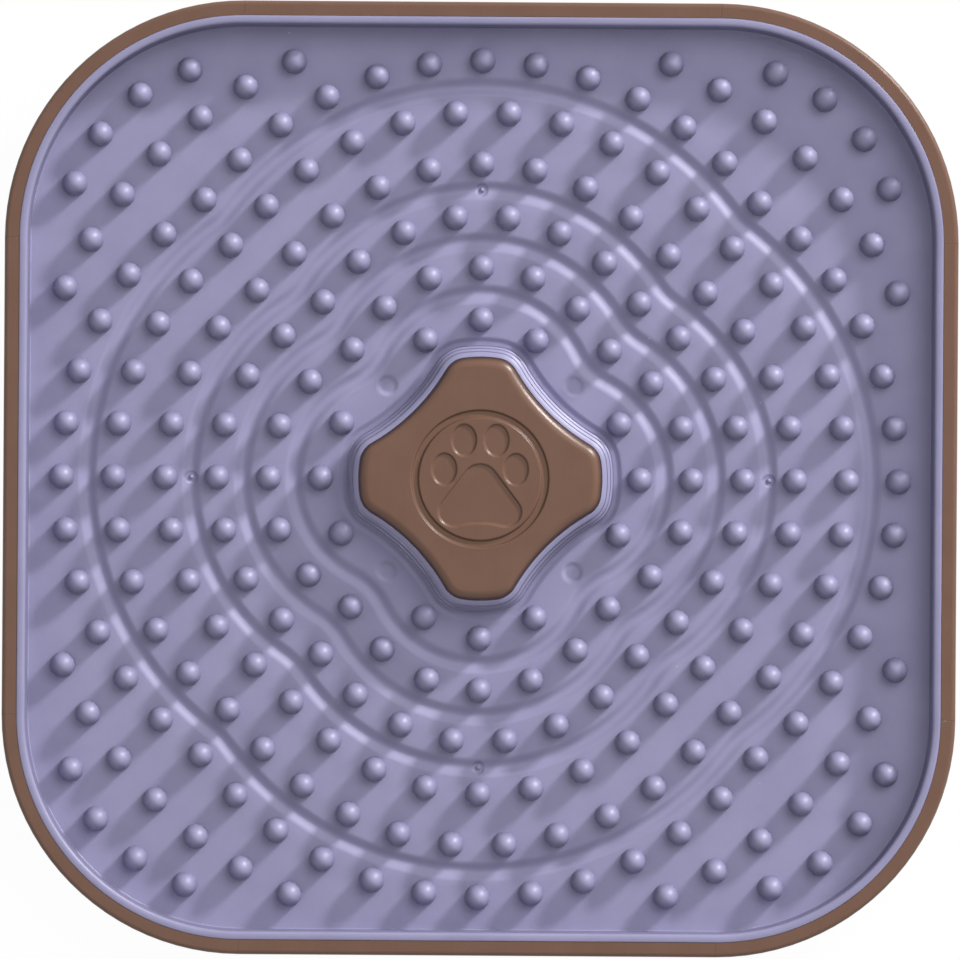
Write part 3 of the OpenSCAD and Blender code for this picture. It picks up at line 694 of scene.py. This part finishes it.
def cup_material():
    """Milky soft rubber."""
    finish = settings().finish
    material, tree, shader, coordinates = new_material("milky_rubber", finish.cup_rough)
    depth = 4 * MM
    set_inputs(shader, Subsurface_Weight=0.25, Subsurface_Radius=(depth, depth, depth), Subsurface_Scale=0.5)
    grain = place_group(
        tree, "moulded_grain", coordinates["Object"], Grain_Scale=1800.0, Wave_Scale=120.0, Wave_Share=0.6
    )
    tone = mix_colours(tree, grain["Mottle"], finish.cup, shade(finish.cup, part=0.88))
    set_skin(
        shader, tone, grain["Mottle"], grain["Height"], finish.cup_rough,
        spread=0.12, depth=0.1 * MM, strength=0.4,
    )
    return material


def steel_material():
    """Zinc plated steel with a fine uneven skin."""
    finish = settings().finish
    material, tree, shader, coordinates = new_material("zinc_steel", finish.steel_rough, metallic=1.0)
    grain = place_group(
        tree, "moulded_grain", coordinates["Object"], Grain_Scale=5200.0, Wave_Scale=420.0, Wave_Share=0.3
    )
    tone = mix_colours(tree, grain["Mottle"], finish.steel, shade(finish.steel, part=0.78))
    set_skin(shader, tone, grain["Mottle"], grain["Height"], finish.steel_rough, spread=0.2, depth=0.04 * MM)
    return material


def give_material(thing, material):
    thing.data.materials.clear()
    thing.data.materials.append(material)


def dress_node(name, material):
    """Puts a material in the slots of a CAD node that stays as it is."""
    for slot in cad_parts[name].material_slots:
        slot.material = material


# The soft pad


def pad_directions():
    """Directions of the pad's columns, closer together at the gate pits on the axes."""
    # The close columns' step in degrees, their number at each side of an axis, and the least step kept
    fine, count, least = 0.2, 7, 0.05
    even = all_round(PAD_COLUMNS)
    near = np.radians([k * fine for k in range(-count, count + 1) if k])
    extra = np.concatenate([(near + quarter) % (2 * math.pi) for quarter in QUARTERS])
    both = np.sort(np.concatenate([even, extra]))
    return both[np.concatenate([[True], np.diff(both) > math.radians(least)])]


def wall_rows(directions, floor):
    """Rows up the pad's outer wall, over its lip and down to the floor."""
    pad = settings().pad
    half = RIM_INSIDE - pad.wall_gap
    under, rim = PAD_LOW.z, PAD_HIGH.z

    def wall(inset, z):
        return square_edge(directions, half - inset, pad.corner_radius - inset), z

    lip, edge, outer = pad.lip_width, pad.lip_edge, pad.lip_outer
    crown, close = rim - pad.lip_crown, 0.1 * MM
    rows = [wall(0.0, under), wall(0.0, under + close), wall(0.0, crown - outer - close)]
    rows += [wall(outer - x, z) for x, z in arc_steps((0, crown - outer), outer, 0, 90, 4)]
    for t in np.linspace(0, 1, 6)[1:-1]:
        rows.append(wall(outer + (lip - outer - edge) * t, crown + pad.lip_crown * math.sin(t * math.pi)))
    rows += [wall(lip - edge - x, z) for x, z in arc_steps((0, crown - edge), edge, 90, 180, 7)]
    draft, fillet = pad.wall_draft, pad.foot_fillet
    drop = floor + fillet - rim
    rows += [wall(lip + draft * t, rim + drop * t) for t in (0.25, 0.5, 0.75)]
    arc = arc_steps((0, floor + fillet), fillet, 0, -90, 7)
    return rows + [wall(lip + draft + fillet - x, z) for x, z in arc]


def groove_rows(directions, radius, floor):
    """Rows across a softly rounded groove, from its outer side inwards."""
    pad = settings().pad
    rows = []
    for u in np.linspace(1, -1, 17):
        depth = pad.groove_depth * (1 + math.cos(math.pi * u)) / 2
        rows.append((lobed_edge(directions, radius, u * pad.groove_width / 2), floor - depth))
    return rows


def floor_rows(directions, outer, floor):
    """Rows in over the floor and its four grooves, from the wall's foot to the moat."""
    pad = settings().pad
    rows = []
    # Each groove's ring of pegs, and the steps from the row before it
    for ring, steps in ((4, 8), (2, 3), (1, 3), (0, 3)):
        across = groove_rows(directions, groove_radius(ring), floor)
        rows += between(outer, across[0][0], floor, steps) + across
        outer = across[-1][0]
    moat, moat_steps = hub_edge(directions, pad.fit_gap + pad.collar_foot + pad.moat_width), 26
    return rows + between(outer, moat, floor, moat_steps) + [(moat, floor)]


def moat_places(floor):
    """Places down the moat's outer side and in over its level bed, as hub_rows takes them."""
    pad = settings().pad
    foot, steps = pad.fit_gap + pad.collar_foot, 13
    places = []
    for k in range(steps - 1, 0, -1):
        t = k / steps
        sink = pad.moat_depth * (1 - smooth((t - pad.moat_bed) / pad.moat_side))
        places.append((foot + pad.moat_width * t, floor - sink))
    return places


def collar_places(floor, rim):
    """Places up the three steps of the collar, each with a crease at its foot, and down along the hub."""
    pad = settings().pad
    bed, turn, crease, inner = floor - pad.moat_depth, pad.collar_edge, pad.collar_crease, pad.collar_inner
    edges = (pad.collar_foot, pad.collar_waist, pad.collar_lip, 0.0)
    tops = (pad.collar_low, pad.collar_middle, 1.0)
    # Degrees that a step's edge turns before its top goes on at the slope
    bend = 51
    places, below = [], bed
    for thick, next_thick, part in zip(edges, edges[1:], tops):
        reach, high = pad.fit_gap + thick, bed + (rim - bed) * part
        centre = high - pad.collar_slope * (thick - next_thick - turn) - turn
        places += [(reach + crease, below), (reach, below - crease)]
        places += arc_steps((reach - turn, centre), turn, 0, bend, 5)
        below = high
    places += arc_steps((pad.fit_gap + inner, rim - inner), inner, 90, 180, 4)
    return places + [(pad.fit_gap, floor)]


def pad_section(directions, floor):
    """The pad's rows: out along its underside, up its wall, in over the floor and up the collar."""
    pad = settings().pad
    rows = hub_rows(directions, [(pad.fit_gap, PAD_LOW.z)]) + wall_rows(directions, floor)
    rows += floor_rows(directions, rows[-1][0], floor)
    return rows + hub_rows(directions, moat_places(floor) + collar_places(floor, PAD_HIGH.z))


def press_marks(points, floor):
    """Sinks the ejector marks and the gate pits into the pad's floor."""
    pad = settings().pad
    # Only points between these heights, over the pad's underside and over its floor, are moved
    under, over = 0.3 * MM, 0.05 * MM
    upper_side = (points[:, 2] > PAD_LOW.z + under) & (points[:, 2] < floor + over)
    # How far the gate pit's soft edge spreads past its diameter
    spread = 0.12 * MM
    bed = floor - pad.groove_depth - pad.gate_pit_depth

    def inside(radius, soft, away, turn):
        """Grows from 0 to 1 within a round mark, over its soft edge."""
        x, y = on_circle(away, turn)
        distance = np.hypot(points[:, 0] - x, points[:, 1] - y)
        return np.where(upper_side, smooth((radius - distance) / soft), 0)

    for quarter in QUARTERS:
        sink = inside(pad.pin_mark / 2, pad.pin_mark_soft, pad.pin_mark_place, quarter + DIAGONAL)
        points[:, 2] -= pad.pin_mark_depth * sink
        hole = inside(pad.gate_pit / 2 + spread, pad.gate_pit_soft, groove_radius(GATE_RING), quarter)
        points[:, 2] += (bed - points[:, 2]) * hole
    return points


class LICK_MAT_OT_pad(Operator):
    """Makes the soft pad: floor with grooves, moat and mould marks, outer wall and collar"""

    bl_idname = "lick_mat.pad"
    bl_label = "Soft pad"

    def execute(self, context):
        floor = PAD_LOW.z + settings().pad.floor_thickness
        directions = pad_directions()
        section = pad_section(directions, floor)
        points = press_marks(section_points(directions, section), floor)
        faces = section_faces(len(section), len(directions), closed=True)
        sheet = add_piece("soft_pad", points, faces, pad_material())
        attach(sheet, "pad")
        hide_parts("lick_pad")
        return {"FINISHED"}


# Pegs


def peg_places():
    """Middles of all pegs: full rings, a row across each corner and a short row in each corner."""
    pad, pegs = settings().pad, settings().pegs
    places = []
    for ring, count in enumerate(RING_PEGS):
        radius = pad.first_ring + ring * pad.ring_step
        for i in range(count):
            # The first ring has no pegs on the diagonals, where the pin marks are
            if ring == 0 and i % 4 == 2:
                continue
            even = 2 * math.pi * i / count
            turn = even - pad.ring_ease / radius * math.sin(4 * even)
            places.append(on_circle(float(lobed_edge(np.array([turn]), radius)[0]), turn))
    # The radius is now that of the last full ring
    row = radius + pegs.corner_row_gap
    for quarter in QUARTERS:
        for i in range(CORNER_ROW_PEGS):
            off = i - (CORNER_ROW_PEGS - 1) / 2
            places.append(on_circle(row, quarter + DIAGONAL + off * pegs.corner_row_step / row))
        for i in range(OUTER_ROW_PEGS):
            off = i - (OUTER_ROW_PEGS - 1) / 2
            turn = DIAGONAL + off * pegs.outer_row_step / pegs.outer_row_radius
            x, y = on_circle(pegs.outer_row_radius, turn)
            away = math.hypot(CORNER_PLACE + x, CORNER_PLACE + y)
            places.append(on_circle(away, quarter + math.atan2(CORNER_PLACE + y, CORNER_PLACE + x)))
    return places


def lay_domed_studs(tree, given, made):
    """A domed stud on each point, each with a small lean of its own."""

    def calc(*values, clamp=False):
        return math_node(tree, *values, clamp=clamp)

    def step(kind, options=None, **values):
        """A node with its inputs set; returns its first output."""
        return set_inputs(add_node(tree, kind, **(options or {})), **values)[0]

    # Rows of a stud: 0 its sunk foot, 1 the barrel's end, then the dome up to its pole
    rows, closest = 5, 0.02 * MM
    line = step("GeometryNodeCurvePrimitiveLine", End=(0, 0, 1))
    path = step("GeometryNodeResampleCurve", Curve=line, Count=rows + 1)
    row = add_node(tree, "GeometryNodeSplineParameter").outputs["Index"]
    up_barrel = calc("MINIMUM", row, 1.0)
    dome = calc("DIVIDE", calc("SUBTRACT", row, 1.0), rows - 1.0, clamp=True)
    dome_angle = calc("MULTIPLY", dome, math.pi / 2)
    barrel = calc("ADD", calc("SUBTRACT", given["Height"], given["Dome"]), given["Sunk"])
    barrel_top = calc("MULTIPLY", barrel, up_barrel)
    over_foot = calc("MULTIPLY_ADD", given["Dome"], calc("SINE", dome_angle), barrel_top)
    narrow = calc("MULTIPLY", given["Draft"], -0.5)
    wide = calc("MULTIPLY_ADD", narrow, up_barrel, calc("MULTIPLY", given["Diameter"], 0.5))
    girth = calc("MULTIPLY", wide, calc("COSINE", dome_angle))
    rise = step("ShaderNodeCombineXYZ", Z=calc("SUBTRACT", over_foot, given["Sunk"]))
    axis = step("GeometryNodeSetPosition", Geometry=path, Position=rise)
    circle = {"mode": "RADIUS"}
    profile = step("GeometryNodeCurvePrimitiveCircle", circle, Resolution=given["Sides"], Radius=1.0)
    skin = step("GeometryNodeCurveToMesh", Curve=axis, Scale=girth, Profile_Curve=profile, Fill_Caps=True)
    merged = step("GeometryNodeMergeByDistance", Geometry=skin, Distance=closest)
    stud = step("GeometryNodeSetShadeSmooth", Geometry=merged)
    least = calc("MULTIPLY", given["Lean"], -1.0)
    lean = add_node(tree, "FunctionNodeRandomValue", "Lean", data_type="FLOAT_VECTOR")
    # Inputs 0 and 1 are the vector's least and greatest value
    for number, value in enumerate((least, given["Lean"])):
        link(tree, step("ShaderNodeCombineXYZ", X=value, Y=value), lean.inputs[number])
    turn = set_inputs(lean, Seed=given["Seed"])[0]
    turn = step("FunctionNodeEulerToRotation", Euler=turn)
    field = step("GeometryNodeInstanceOnPoints", Points=given["Geometry"], Instance=stud, Rotation=turn)
    real = step("GeometryNodeRealizeInstances", Geometry=field)
    dressed = step("GeometryNodeSetMaterial", Geometry=real, Material=given["Material"])
    link(tree, dressed, made["Geometry"])


STUD_INPUTS = (
    ("Geometry", "Geometry", None),
    ("Diameter", "Float", 5.5 * MM),
    ("Height", "Float", 5.4 * MM),
    ("Draft", "Float", 0.2 * MM),
    ("Dome", "Float", 3.0 * MM),
    ("Sunk", "Float", 0.3 * MM),
    ("Lean", "Float", 0.012),
    ("Sides", "Int", 12),
    ("Seed", "Int", 7),
    ("Material", "Material", None),
)


def studs_on(name, places, height, material, **values):
    """Runs the stud tree on points at this height and returns the result as a plain closed mesh object."""
    points = bpy.data.meshes.new(name + "_places")
    points.from_pydata([(x, y, height) for x, y in places], [], [])
    thing = add_object(name, points)
    outputs = (("Geometry", "Geometry", None),)
    tree = shared_tree("domed_studs", "GeometryNodeTree", STUD_INPUTS, outputs, lay_domed_studs)
    nodes = thing.modifiers.new("Studs", "NODES")
    nodes.node_group = tree
    sockets = {s.name: s.identifier for s in tree.interface.items_tree if s.in_out == "INPUT"}
    for key, value in values.items():
        nodes[sockets[key]] = value
    nodes[sockets["Material"]] = material
    bpy.context.view_layer.update()
    graph = bpy.context.evaluated_depsgraph_get()
    made = bpy.data.meshes.new_from_object(thing.evaluated_get(graph), depsgraph=graph)
    thing.modifiers.remove(nodes)
    whole = bmesh.new()
    whole.from_mesh(made)
    bmesh.ops.recalc_face_normals(whole, faces=whole.faces)
    whole.to_mesh(made)
    whole.free()
    made.set_sharp_from_angle(angle=STUD_SHARP)
    made.name = name
    thing.data = made
    bpy.data.meshes.remove(points)
    give_material(thing, material)
    return thing


class LICK_MAT_OT_pegs(Operator):
    """Makes the domed pegs and the small gate stubs of the pad"""

    bl_idname = "lick_mat.pegs"
    bl_label = "Pegs and gate stubs"

    def execute(self, context):
        pad, pegs = settings().pad, settings().pegs
        floor = PAD_LOW.z + pad.floor_thickness
        pit = floor - pad.groove_depth - pad.gate_pit_depth
        rubber = bpy.data.materials["lavender_rubber"]
        # Greatest lean about each axis, in radians
        peg_lean, stub_lean = 0.012, 0.03
        field = studs_on(
            "pad_pegs", peg_places(), floor, rubber,
            Diameter=pegs.diameter, Height=pegs.height, Draft=pegs.draft, Dome=pegs.dome,
            Sunk=pegs.sunk, Lean=peg_lean, Sides=pegs.sides, Seed=pegs.seed,
        )
        gates = [on_circle(groove_radius(GATE_RING), quarter) for quarter in QUARTERS]
        stubs = studs_on(
            "gate_stubs", gates, pit, rubber,
            Diameter=pegs.stub_diameter, Height=pegs.stub_height + pad.gate_pit_depth,
            Draft=pegs.stub_draft, Dome=pegs.stub_dome, Sunk=pegs.stub_sunk, Lean=stub_lean,
            Sides=pegs.sides, Seed=pegs.seed + 1,
        )
        for piece in (field, stubs):
            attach(piece, "pad")
        return {"FINISHED"}


# The hub


def heel_outline():
    """Closed outline of the paw's heel: a rounded triangle with an arched lower edge."""
    paw = settings().paw
    top, low = np.array(paw.heel_top), np.array(paw.heel_side)
    top_r, low_r = paw.heel_top_radius, paw.heel_side_radius
    side = np.linalg.norm(low - top)
    turn = math.atan2(low[1] - top[1], low[0]) + math.acos((top_r - low_r) / side)
    dip = low_r - paw.heel_arch
    arch_r = (low[0] ** 2 + dip**2 - low_r**2) / (2 * (low_r - dip))
    arch = np.array([0.0, low[1] - dip - arch_r])
    arch_turn = math.atan2(low[1] - arch[1], low[0])

    def arc(centre, radius, start, end, steps):
        return np.array(arc_steps(centre, radius, math.degrees(start), math.degrees(end), steps))

    right = arc(low, low_r, turn, arch_turn - math.pi, 22)
    return np.concatenate([
        arc(top, top_r, math.pi - turn, turn, 20),
        right,
        arc(arch, arch_r, arch_turn, math.pi - arch_turn, 16)[1:-1],
        right[::-1] * (-1, 1),
    ])


def inside_distance(x, y, outline):
    """Distance of points from a closed outline, above zero inside it."""
    shortest = 1e-16
    best = np.full(x.shape, np.inf)
    inside = np.zeros(x.shape, bool)
    for a, b in zip(outline, np.roll(outline, -1, axis=0)):
        run = b - a
        size = float(run @ run)
        if size < shortest:
            continue
        t = np.clip(((x - a[0]) * run[0] + (y - a[1]) * run[1]) / size, 0, 1)
        best = np.minimum(best, np.hypot(x - a[0] - t * run[0], y - a[1] - t * run[1]))
        crosses = (a[1] > y) != (b[1] > y)
        with np.errstate(divide="ignore", invalid="ignore"):
            inside ^= crosses & (x < run[0] * (y - a[1]) / run[1] + a[0])
    return np.where(inside, best, -best)


def toe_distance(x, y, toe, side):
    """Distance of points from the edge of an oval toe, above zero inside it."""
    paw = settings().paw
    least = 1e-6
    across = (x - side * toe[0]) / paw.toe_width
    along = (y - toe[1]) / paw.toe_length
    reach = np.hypot(across, along)
    steep = np.hypot(across / paw.toe_width, along / paw.toe_length) / np.maximum(reach, least)
    return (1 - reach) / np.maximum(steep, least)


def marks_sink(x, y):
    """How deep the ring and the paw print are sunk at each point."""
    hub, paw = settings().hub, settings().paw
    ring = hub.ring_width / 2 - np.abs(np.hypot(x, y) - hub.ring_radius)
    shapes = [inside_distance(x, y, heel_outline())]
    shapes += [toe_distance(x, y, toe, side) for side in (-1, 1) for toe in (paw.inner_toe, paw.outer_toe)]
    ring_sink = hub.ring_depth * smooth(ring / hub.edge_soft + 0.5)
    paw_sink = paw.depth * smooth(np.maximum.reduce(shapes) / hub.edge_soft + 0.5)
    return np.maximum(ring_sink, paw_sink)


class LICK_MAT_OT_hub(Operator):
    """Makes the centre hub with its rounded edge, sunk ring and paw print"""

    bl_idname = "lick_mat.hub"
    bl_label = "Centre hub"

    def execute(self, context):
        hub = settings().hub
        low, top = HUB_LOW.z, HUB_HIGH.z
        ceiling, close = top - hub.top, 0.01 * MM
        directions = all_round(HUB_COLUMNS)
        section = self.section(directions, low, ceiling, top)
        points, faces = closed_piece(directions, section, (ceiling, top))
        on_top = points[:, 2] > top - close
        points[:, 2] -= np.where(on_top, marks_sink(points[:, 0], points[:, 1]), 0)
        boss_points, boss_faces = self.bosses(low, ceiling, len(points))
        points, faces = np.concatenate([points, boss_points]), faces + boss_faces
        cap = add_piece("hub_cap", points, faces, brown_material("brown_plastic_hub", steep_shade_part=0.4))
        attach(cap, "tray")
        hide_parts("centre_hub")
        return {"FINISHED"}

    @staticmethod
    def section(directions, low, ceiling, top):
        """Rows out over the ceiling, down inside the wall, up its outer side and in over the top."""
        hub = settings().hub
        ring = np.ones_like(directions)
        wall, bevel, drop = hub.wall, hub.bevel, hub.edge_drop
        # The ceiling starts at core. The top's rows for the sunk marks lie grid apart, from margin past
        # the sunk ring in to pole
        core, margin, grid, pole = 6 * MM, 0.6 * MM, 0.135 * MM, 0.3 * MM
        arc = arc_steps((0, 0), 1, 6, 90, 16)
        rows = [(ring * core, ceiling)]
        rows += hub_rows(directions, [
            (-wall - 2 * bevel, ceiling), (-wall, ceiling - 2 * bevel), (-wall, low + bevel),
            (bevel - wall, low), (-bevel, low), (0.0, low + bevel), (0.0, top - drop),
            *[((x - 1) * hub.edge_round, top - drop + z * drop) for x, z in arc],
        ])
        marks = hub.ring_radius + hub.ring_width / 2 + margin
        rows += between(rows[-1][0], ring * marks, top, 6)
        return rows + [(ring * r, top) for r in np.arange(marks, pole, -grid)]

    @staticmethod
    def bosses(low, ceiling, first):
        """Points and faces of four round bosses with blind bores under the hub's top."""
        hub = settings().hub
        directions = all_round(BOSS_COLUMNS)
        ring = np.ones_like(directions)
        outer, bore, bevel = hub.boss_diameter / 2, hub.boss_bore / 2, hub.boss_bevel
        # The bosses reach this far into the hub's top
        overlap = 0.2 * MM
        bore_top, boss_top = low + hub.boss_bore_depth, ceiling + overlap
        section = [
            (ring * bore, bore_top), (ring * bore, low + bevel), (ring * (bore + bevel), low),
            (ring * (outer - bevel), low), (ring * outer, low + bevel), (ring * outer, boss_top),
        ]
        points, faces = [], []
        for quarter in QUARTERS:
            boss, boss_faces = closed_piece(directions, section, (bore_top, boss_top), first)
            points.append(boss + (*on_circle(hub.boss_place, quarter), 0))
            faces += boss_faces
            first += len(boss)
        return np.concatenate(points), faces


# Cups, tray and screws


def cup_places(radius, height):
    """Section of a suction cup over its foot, from the middle of its hollow round to its top."""
    cup = settings().cup
    hollow_radius = radius - cup.lip_flat
    dome = (hollow_radius**2 + cup.hollow**2) / (2 * cup.hollow)
    turn = math.degrees(math.asin(hollow_radius / dome))
    # The arcs over the hollow and the head stop these degrees from the middle and the top
    hollow_gap, head_gap = 1.4, 6
    places = arc_steps((0, cup.hollow - dome), dome, 90 - hollow_gap, 90 - turn, 22)
    lip = cup.lip / 2
    places += arc_steps((radius - lip, lip), lip, -80, 90, 7)
    neck_top = height - cup.head
    shoulder_top = neck_top - cup.neck
    shoulder, neck, head = cup.shoulder_diameter / 2, cup.neck_diameter / 2, cup.head_diameter / 2
    bell, rise = radius - lip - shoulder, shoulder_top - cup.shoulder - cup.lip
    for t in np.linspace(0, 1, 21)[1:]:
        places.append((radius - lip - bell * t, cup.lip + rise * math.sin(t * math.pi / 2) ** 2))
    outer, fine, under = cup.shoulder_bevel, cup.neck_bevel, cup.head_bevel
    places += [(shoulder, shoulder_top - outer), (shoulder - outer, shoulder_top)]
    places += [(neck + fine, shoulder_top), (neck, shoulder_top + fine)]
    places += [(neck, neck_top - fine), (neck + fine, neck_top)]
    places += [(head - under, neck_top), (head, neck_top + under)]
    # The head's arc bulges out from a circle of this share of the neck
    tip_share = 0.2
    tip, crown = neck * tip_share, cup.head - under
    for t in np.linspace(0, math.radians(90 - head_gap), 9)[1:]:
        places.append((tip + (head - tip) * math.cos(t), neck_top + under + crown * math.sin(t)))
    return places


class LICK_MAT_OT_cups(Operator):
    """Makes the four soft suction cups"""

    bl_idname = "lick_mat.cups"
    bl_label = "Suction cups"

    def execute(self, context):
        directions = all_round(CUP_COLUMNS)
        ring = np.ones_like(directions)
        rubber = cup_material()
        for node in CUP_NODES:
            low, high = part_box(node)
            centre, radius = (low + high) / 2, (high.x - low.x) / 2
            section = [(ring * r, low.z + z) for r, z in cup_places(radius, high.z - low.z)]
            ends = (low.z + settings().cup.hollow, high.z)
            points, faces = closed_piece(directions, section, ends)
            points[:, :2] += (centre.x, centre.y)
            cup = add_piece(node.replace("suction_cup", "soft_cup"), points, faces, rubber)
            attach(cup, "tray")
            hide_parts(node)
        return {"FINISHED"}


class LICK_MAT_OT_tray(Operator):
    """Gives the tray and the screws their finishes"""

    bl_idname = "lick_mat.tray"
    bl_label = "Tray and screws"

    def execute(self, context):
        dress_node("base_tray", brown_material("brown_plastic_tray", steep_shade_part=0.8, seams=True))
        dress_node("hub_screws", steel_material())
        return {"FINISHED"}


# Studio


def white_rays(tree):
    """1 for rays of the camera and for mirrored and transmitted ones, and the camera's rays alone."""
    rays = add_node(tree, "ShaderNodeLightPath").outputs
    seen = math_node(tree, "MAXIMUM", rays["Is Camera Ray"], rays["Is Glossy Ray"])
    return math_node(tree, "MAXIMUM", seen, rays["Is Transmission Ray"]), rays["Is Camera Ray"]


def mix_shaders(tree, factor, first, second):
    made = add_node(tree, "ShaderNodeMixShader")
    for socket, value in zip(made.inputs, (factor, first, second)):
        link(tree, value, socket)
    return made.outputs[0]


def floor_material(glow):
    """White floor that keeps a faint shadow, and that a camera below it sees through."""
    material = bpy.data.materials.new("studio_floor")
    material.use_nodes = True
    tree = material.node_tree
    tree.nodes.clear()
    plain = set_inputs(add_node(tree, "ShaderNodeBsdfDiffuse"), Color=(1, 1, 1, 1))[0]
    white = add_node(tree, "ShaderNodeEmission").outputs[0]
    clear = add_node(tree, "ShaderNodeBsdfTransparent").outputs[0]
    seen, camera_rays = white_rays(tree)
    surface = mix_shaders(tree, math_node(tree, "MULTIPLY", seen, glow), plain, white)
    back = add_node(tree, "ShaderNodeNewGeometry").outputs["Backfacing"]
    surface = mix_shaders(tree, math_node(tree, "MULTIPLY", back, camera_rays), surface, clear)
    set_inputs(add_node(tree, "ShaderNodeOutputMaterial"), Surface=surface)
    return material


def light_world(mean, horizon):
    """Even light from above that is weaker towards the horizon, seen as white."""
    world = bpy.data.worlds.new("studio_world")
    bpy.context.scene.world = world
    world.use_nodes = True
    tree = world.node_tree
    tree.nodes.clear()
    seen = white_rays(tree)[0]
    direction = split(tree, add_node(tree, "ShaderNodeTexCoord").outputs["Generated"])
    up = math_node(tree, "MAXIMUM", direction["Z"], 0.0)
    # A level surface gets two thirds of the part that grows with height, so its light stays at the mean
    growth = 1.5 * (1 - horizon) * mean
    sky = math_node(tree, "MULTIPLY_ADD", up, growth, horizon * mean)
    strength = math_node(tree, "MULTIPLY_ADD", sky, math_node(tree, "SUBTRACT", 1.0, seen), seen)
    fill = set_inputs(add_node(tree, "ShaderNodeBackground"), Color=(1, 1, 1, 1), Strength=strength)[0]
    set_inputs(add_node(tree, "ShaderNodeOutputWorld"), Surface=fill)


def hang_lamp(name, light, size, rise, mirrored=True, shadow=True):
    """A soft lamp that lights a level white surface by this level; size is its width and height."""
    turn, away = settings().stage.light_turn, 2600 * MM
    lamp = bpy.data.lights.new(name, "AREA")
    lamp.shape = "ELLIPSE"
    lamp.size, lamp.size_y = size
    lamp.energy = light * math.pi**2 * away**2 / math.sin(rise)
    lamp.use_shadow = shadow
    hung = add_object(name, lamp)
    towards = Vector((*on_circle(math.cos(rise), turn), math.sin(rise)))
    hung.location = towards * away
    hung.rotation_euler = towards.to_track_quat("Z", "Y").to_euler()
    hung.visible_glossy = mirrored


class LICK_MAT_OT_stage(Operator):
    """Makes the camera, the lamps, the even light and the floor"""

    bl_idname = "lick_mat.stage"
    bl_label = "Studio"

    def execute(self, context):
        scene, stage = context.scene, settings().stage
        camera = bpy.data.cameras.new("photo_camera")
        camera.sensor_width = 36.0
        camera.lens = camera.sensor_width * stage.distance / stage.frame_width
        camera.clip_end = 20.0
        eye = add_object("photo_camera", camera)
        eye.location = (*stage.eye, TRAY_HIGH.z + stage.distance)
        eye.rotation_euler = (0, 0, stage.turn)
        scene.camera = eye
        hang_lamp("key_lamp", stage.key_level, (stage.key_width, stage.key_height), stage.key_rise)
        soft_size, side_size = (stage.soft_size, stage.soft_size), (stage.key_width, stage.key_width)
        hang_lamp("soft_box", stage.soft_level, soft_size, stage.soft_rise, mirrored=False)
        hang_lamp("side_lamp", stage.side_level, side_size, stage.side_rise, shadow=False)
        light_world(stage.fill_level, stage.horizon)
        half = 4000 * MM
        corners = [(-half, -half, 0), (half, -half, 0), (half, half, 0), (-half, half, 0)]
        ground = add_piece("studio_floor", corners, [(0, 1, 2, 3)], floor_material(stage.floor_glow))
        scene.view_settings.view_transform = "Standard"
        return {"FINISHED"}


class LICK_MAT_PT_panel(Panel):
    """Lists the lick mat's pieces"""

    bl_idname = "LICK_MAT_PT_panel"
    bl_label = "Lick mat"
    bl_space_type = "VIEW_3D"
    bl_region_type = "UI"
    bl_category = "Lick mat"

    def draw(self, context):
        for operator in OPERATORS:
            self.layout.operator(operator.bl_idname, text=operator.bl_label)


OPERATORS = (
    LICK_MAT_OT_pad, LICK_MAT_OT_pegs, LICK_MAT_OT_hub,
    LICK_MAT_OT_cups, LICK_MAT_OT_tray, LICK_MAT_OT_stage,
)
GROUPS = (
    PadSettings, PegSettings, HubSettings, PawSettings, CupSettings,
    FinishSettings, StageSettings, LickMatSettings,
)


def register():
    for made in GROUPS + OPERATORS + (LICK_MAT_PT_panel,):
        bpy.utils.register_class(made)
    bpy.types.Scene.lick_mat = PointerProperty(type=LickMatSettings)


def unregister():
    del bpy.types.Scene.lick_mat
    for made in reversed(GROUPS + OPERATORS + (LICK_MAT_PT_panel,)):
        bpy.utils.unregister_class(made)


def main():
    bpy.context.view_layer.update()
    register()
    bpy.ops.lick_mat.pad()
    bpy.ops.lick_mat.pegs()
    bpy.ops.lick_mat.hub()
    bpy.ops.lick_mat.cups()
    bpy.ops.lick_mat.tray()
    bpy.ops.lick_mat.stage()


if __name__ == "__main__":
    main()
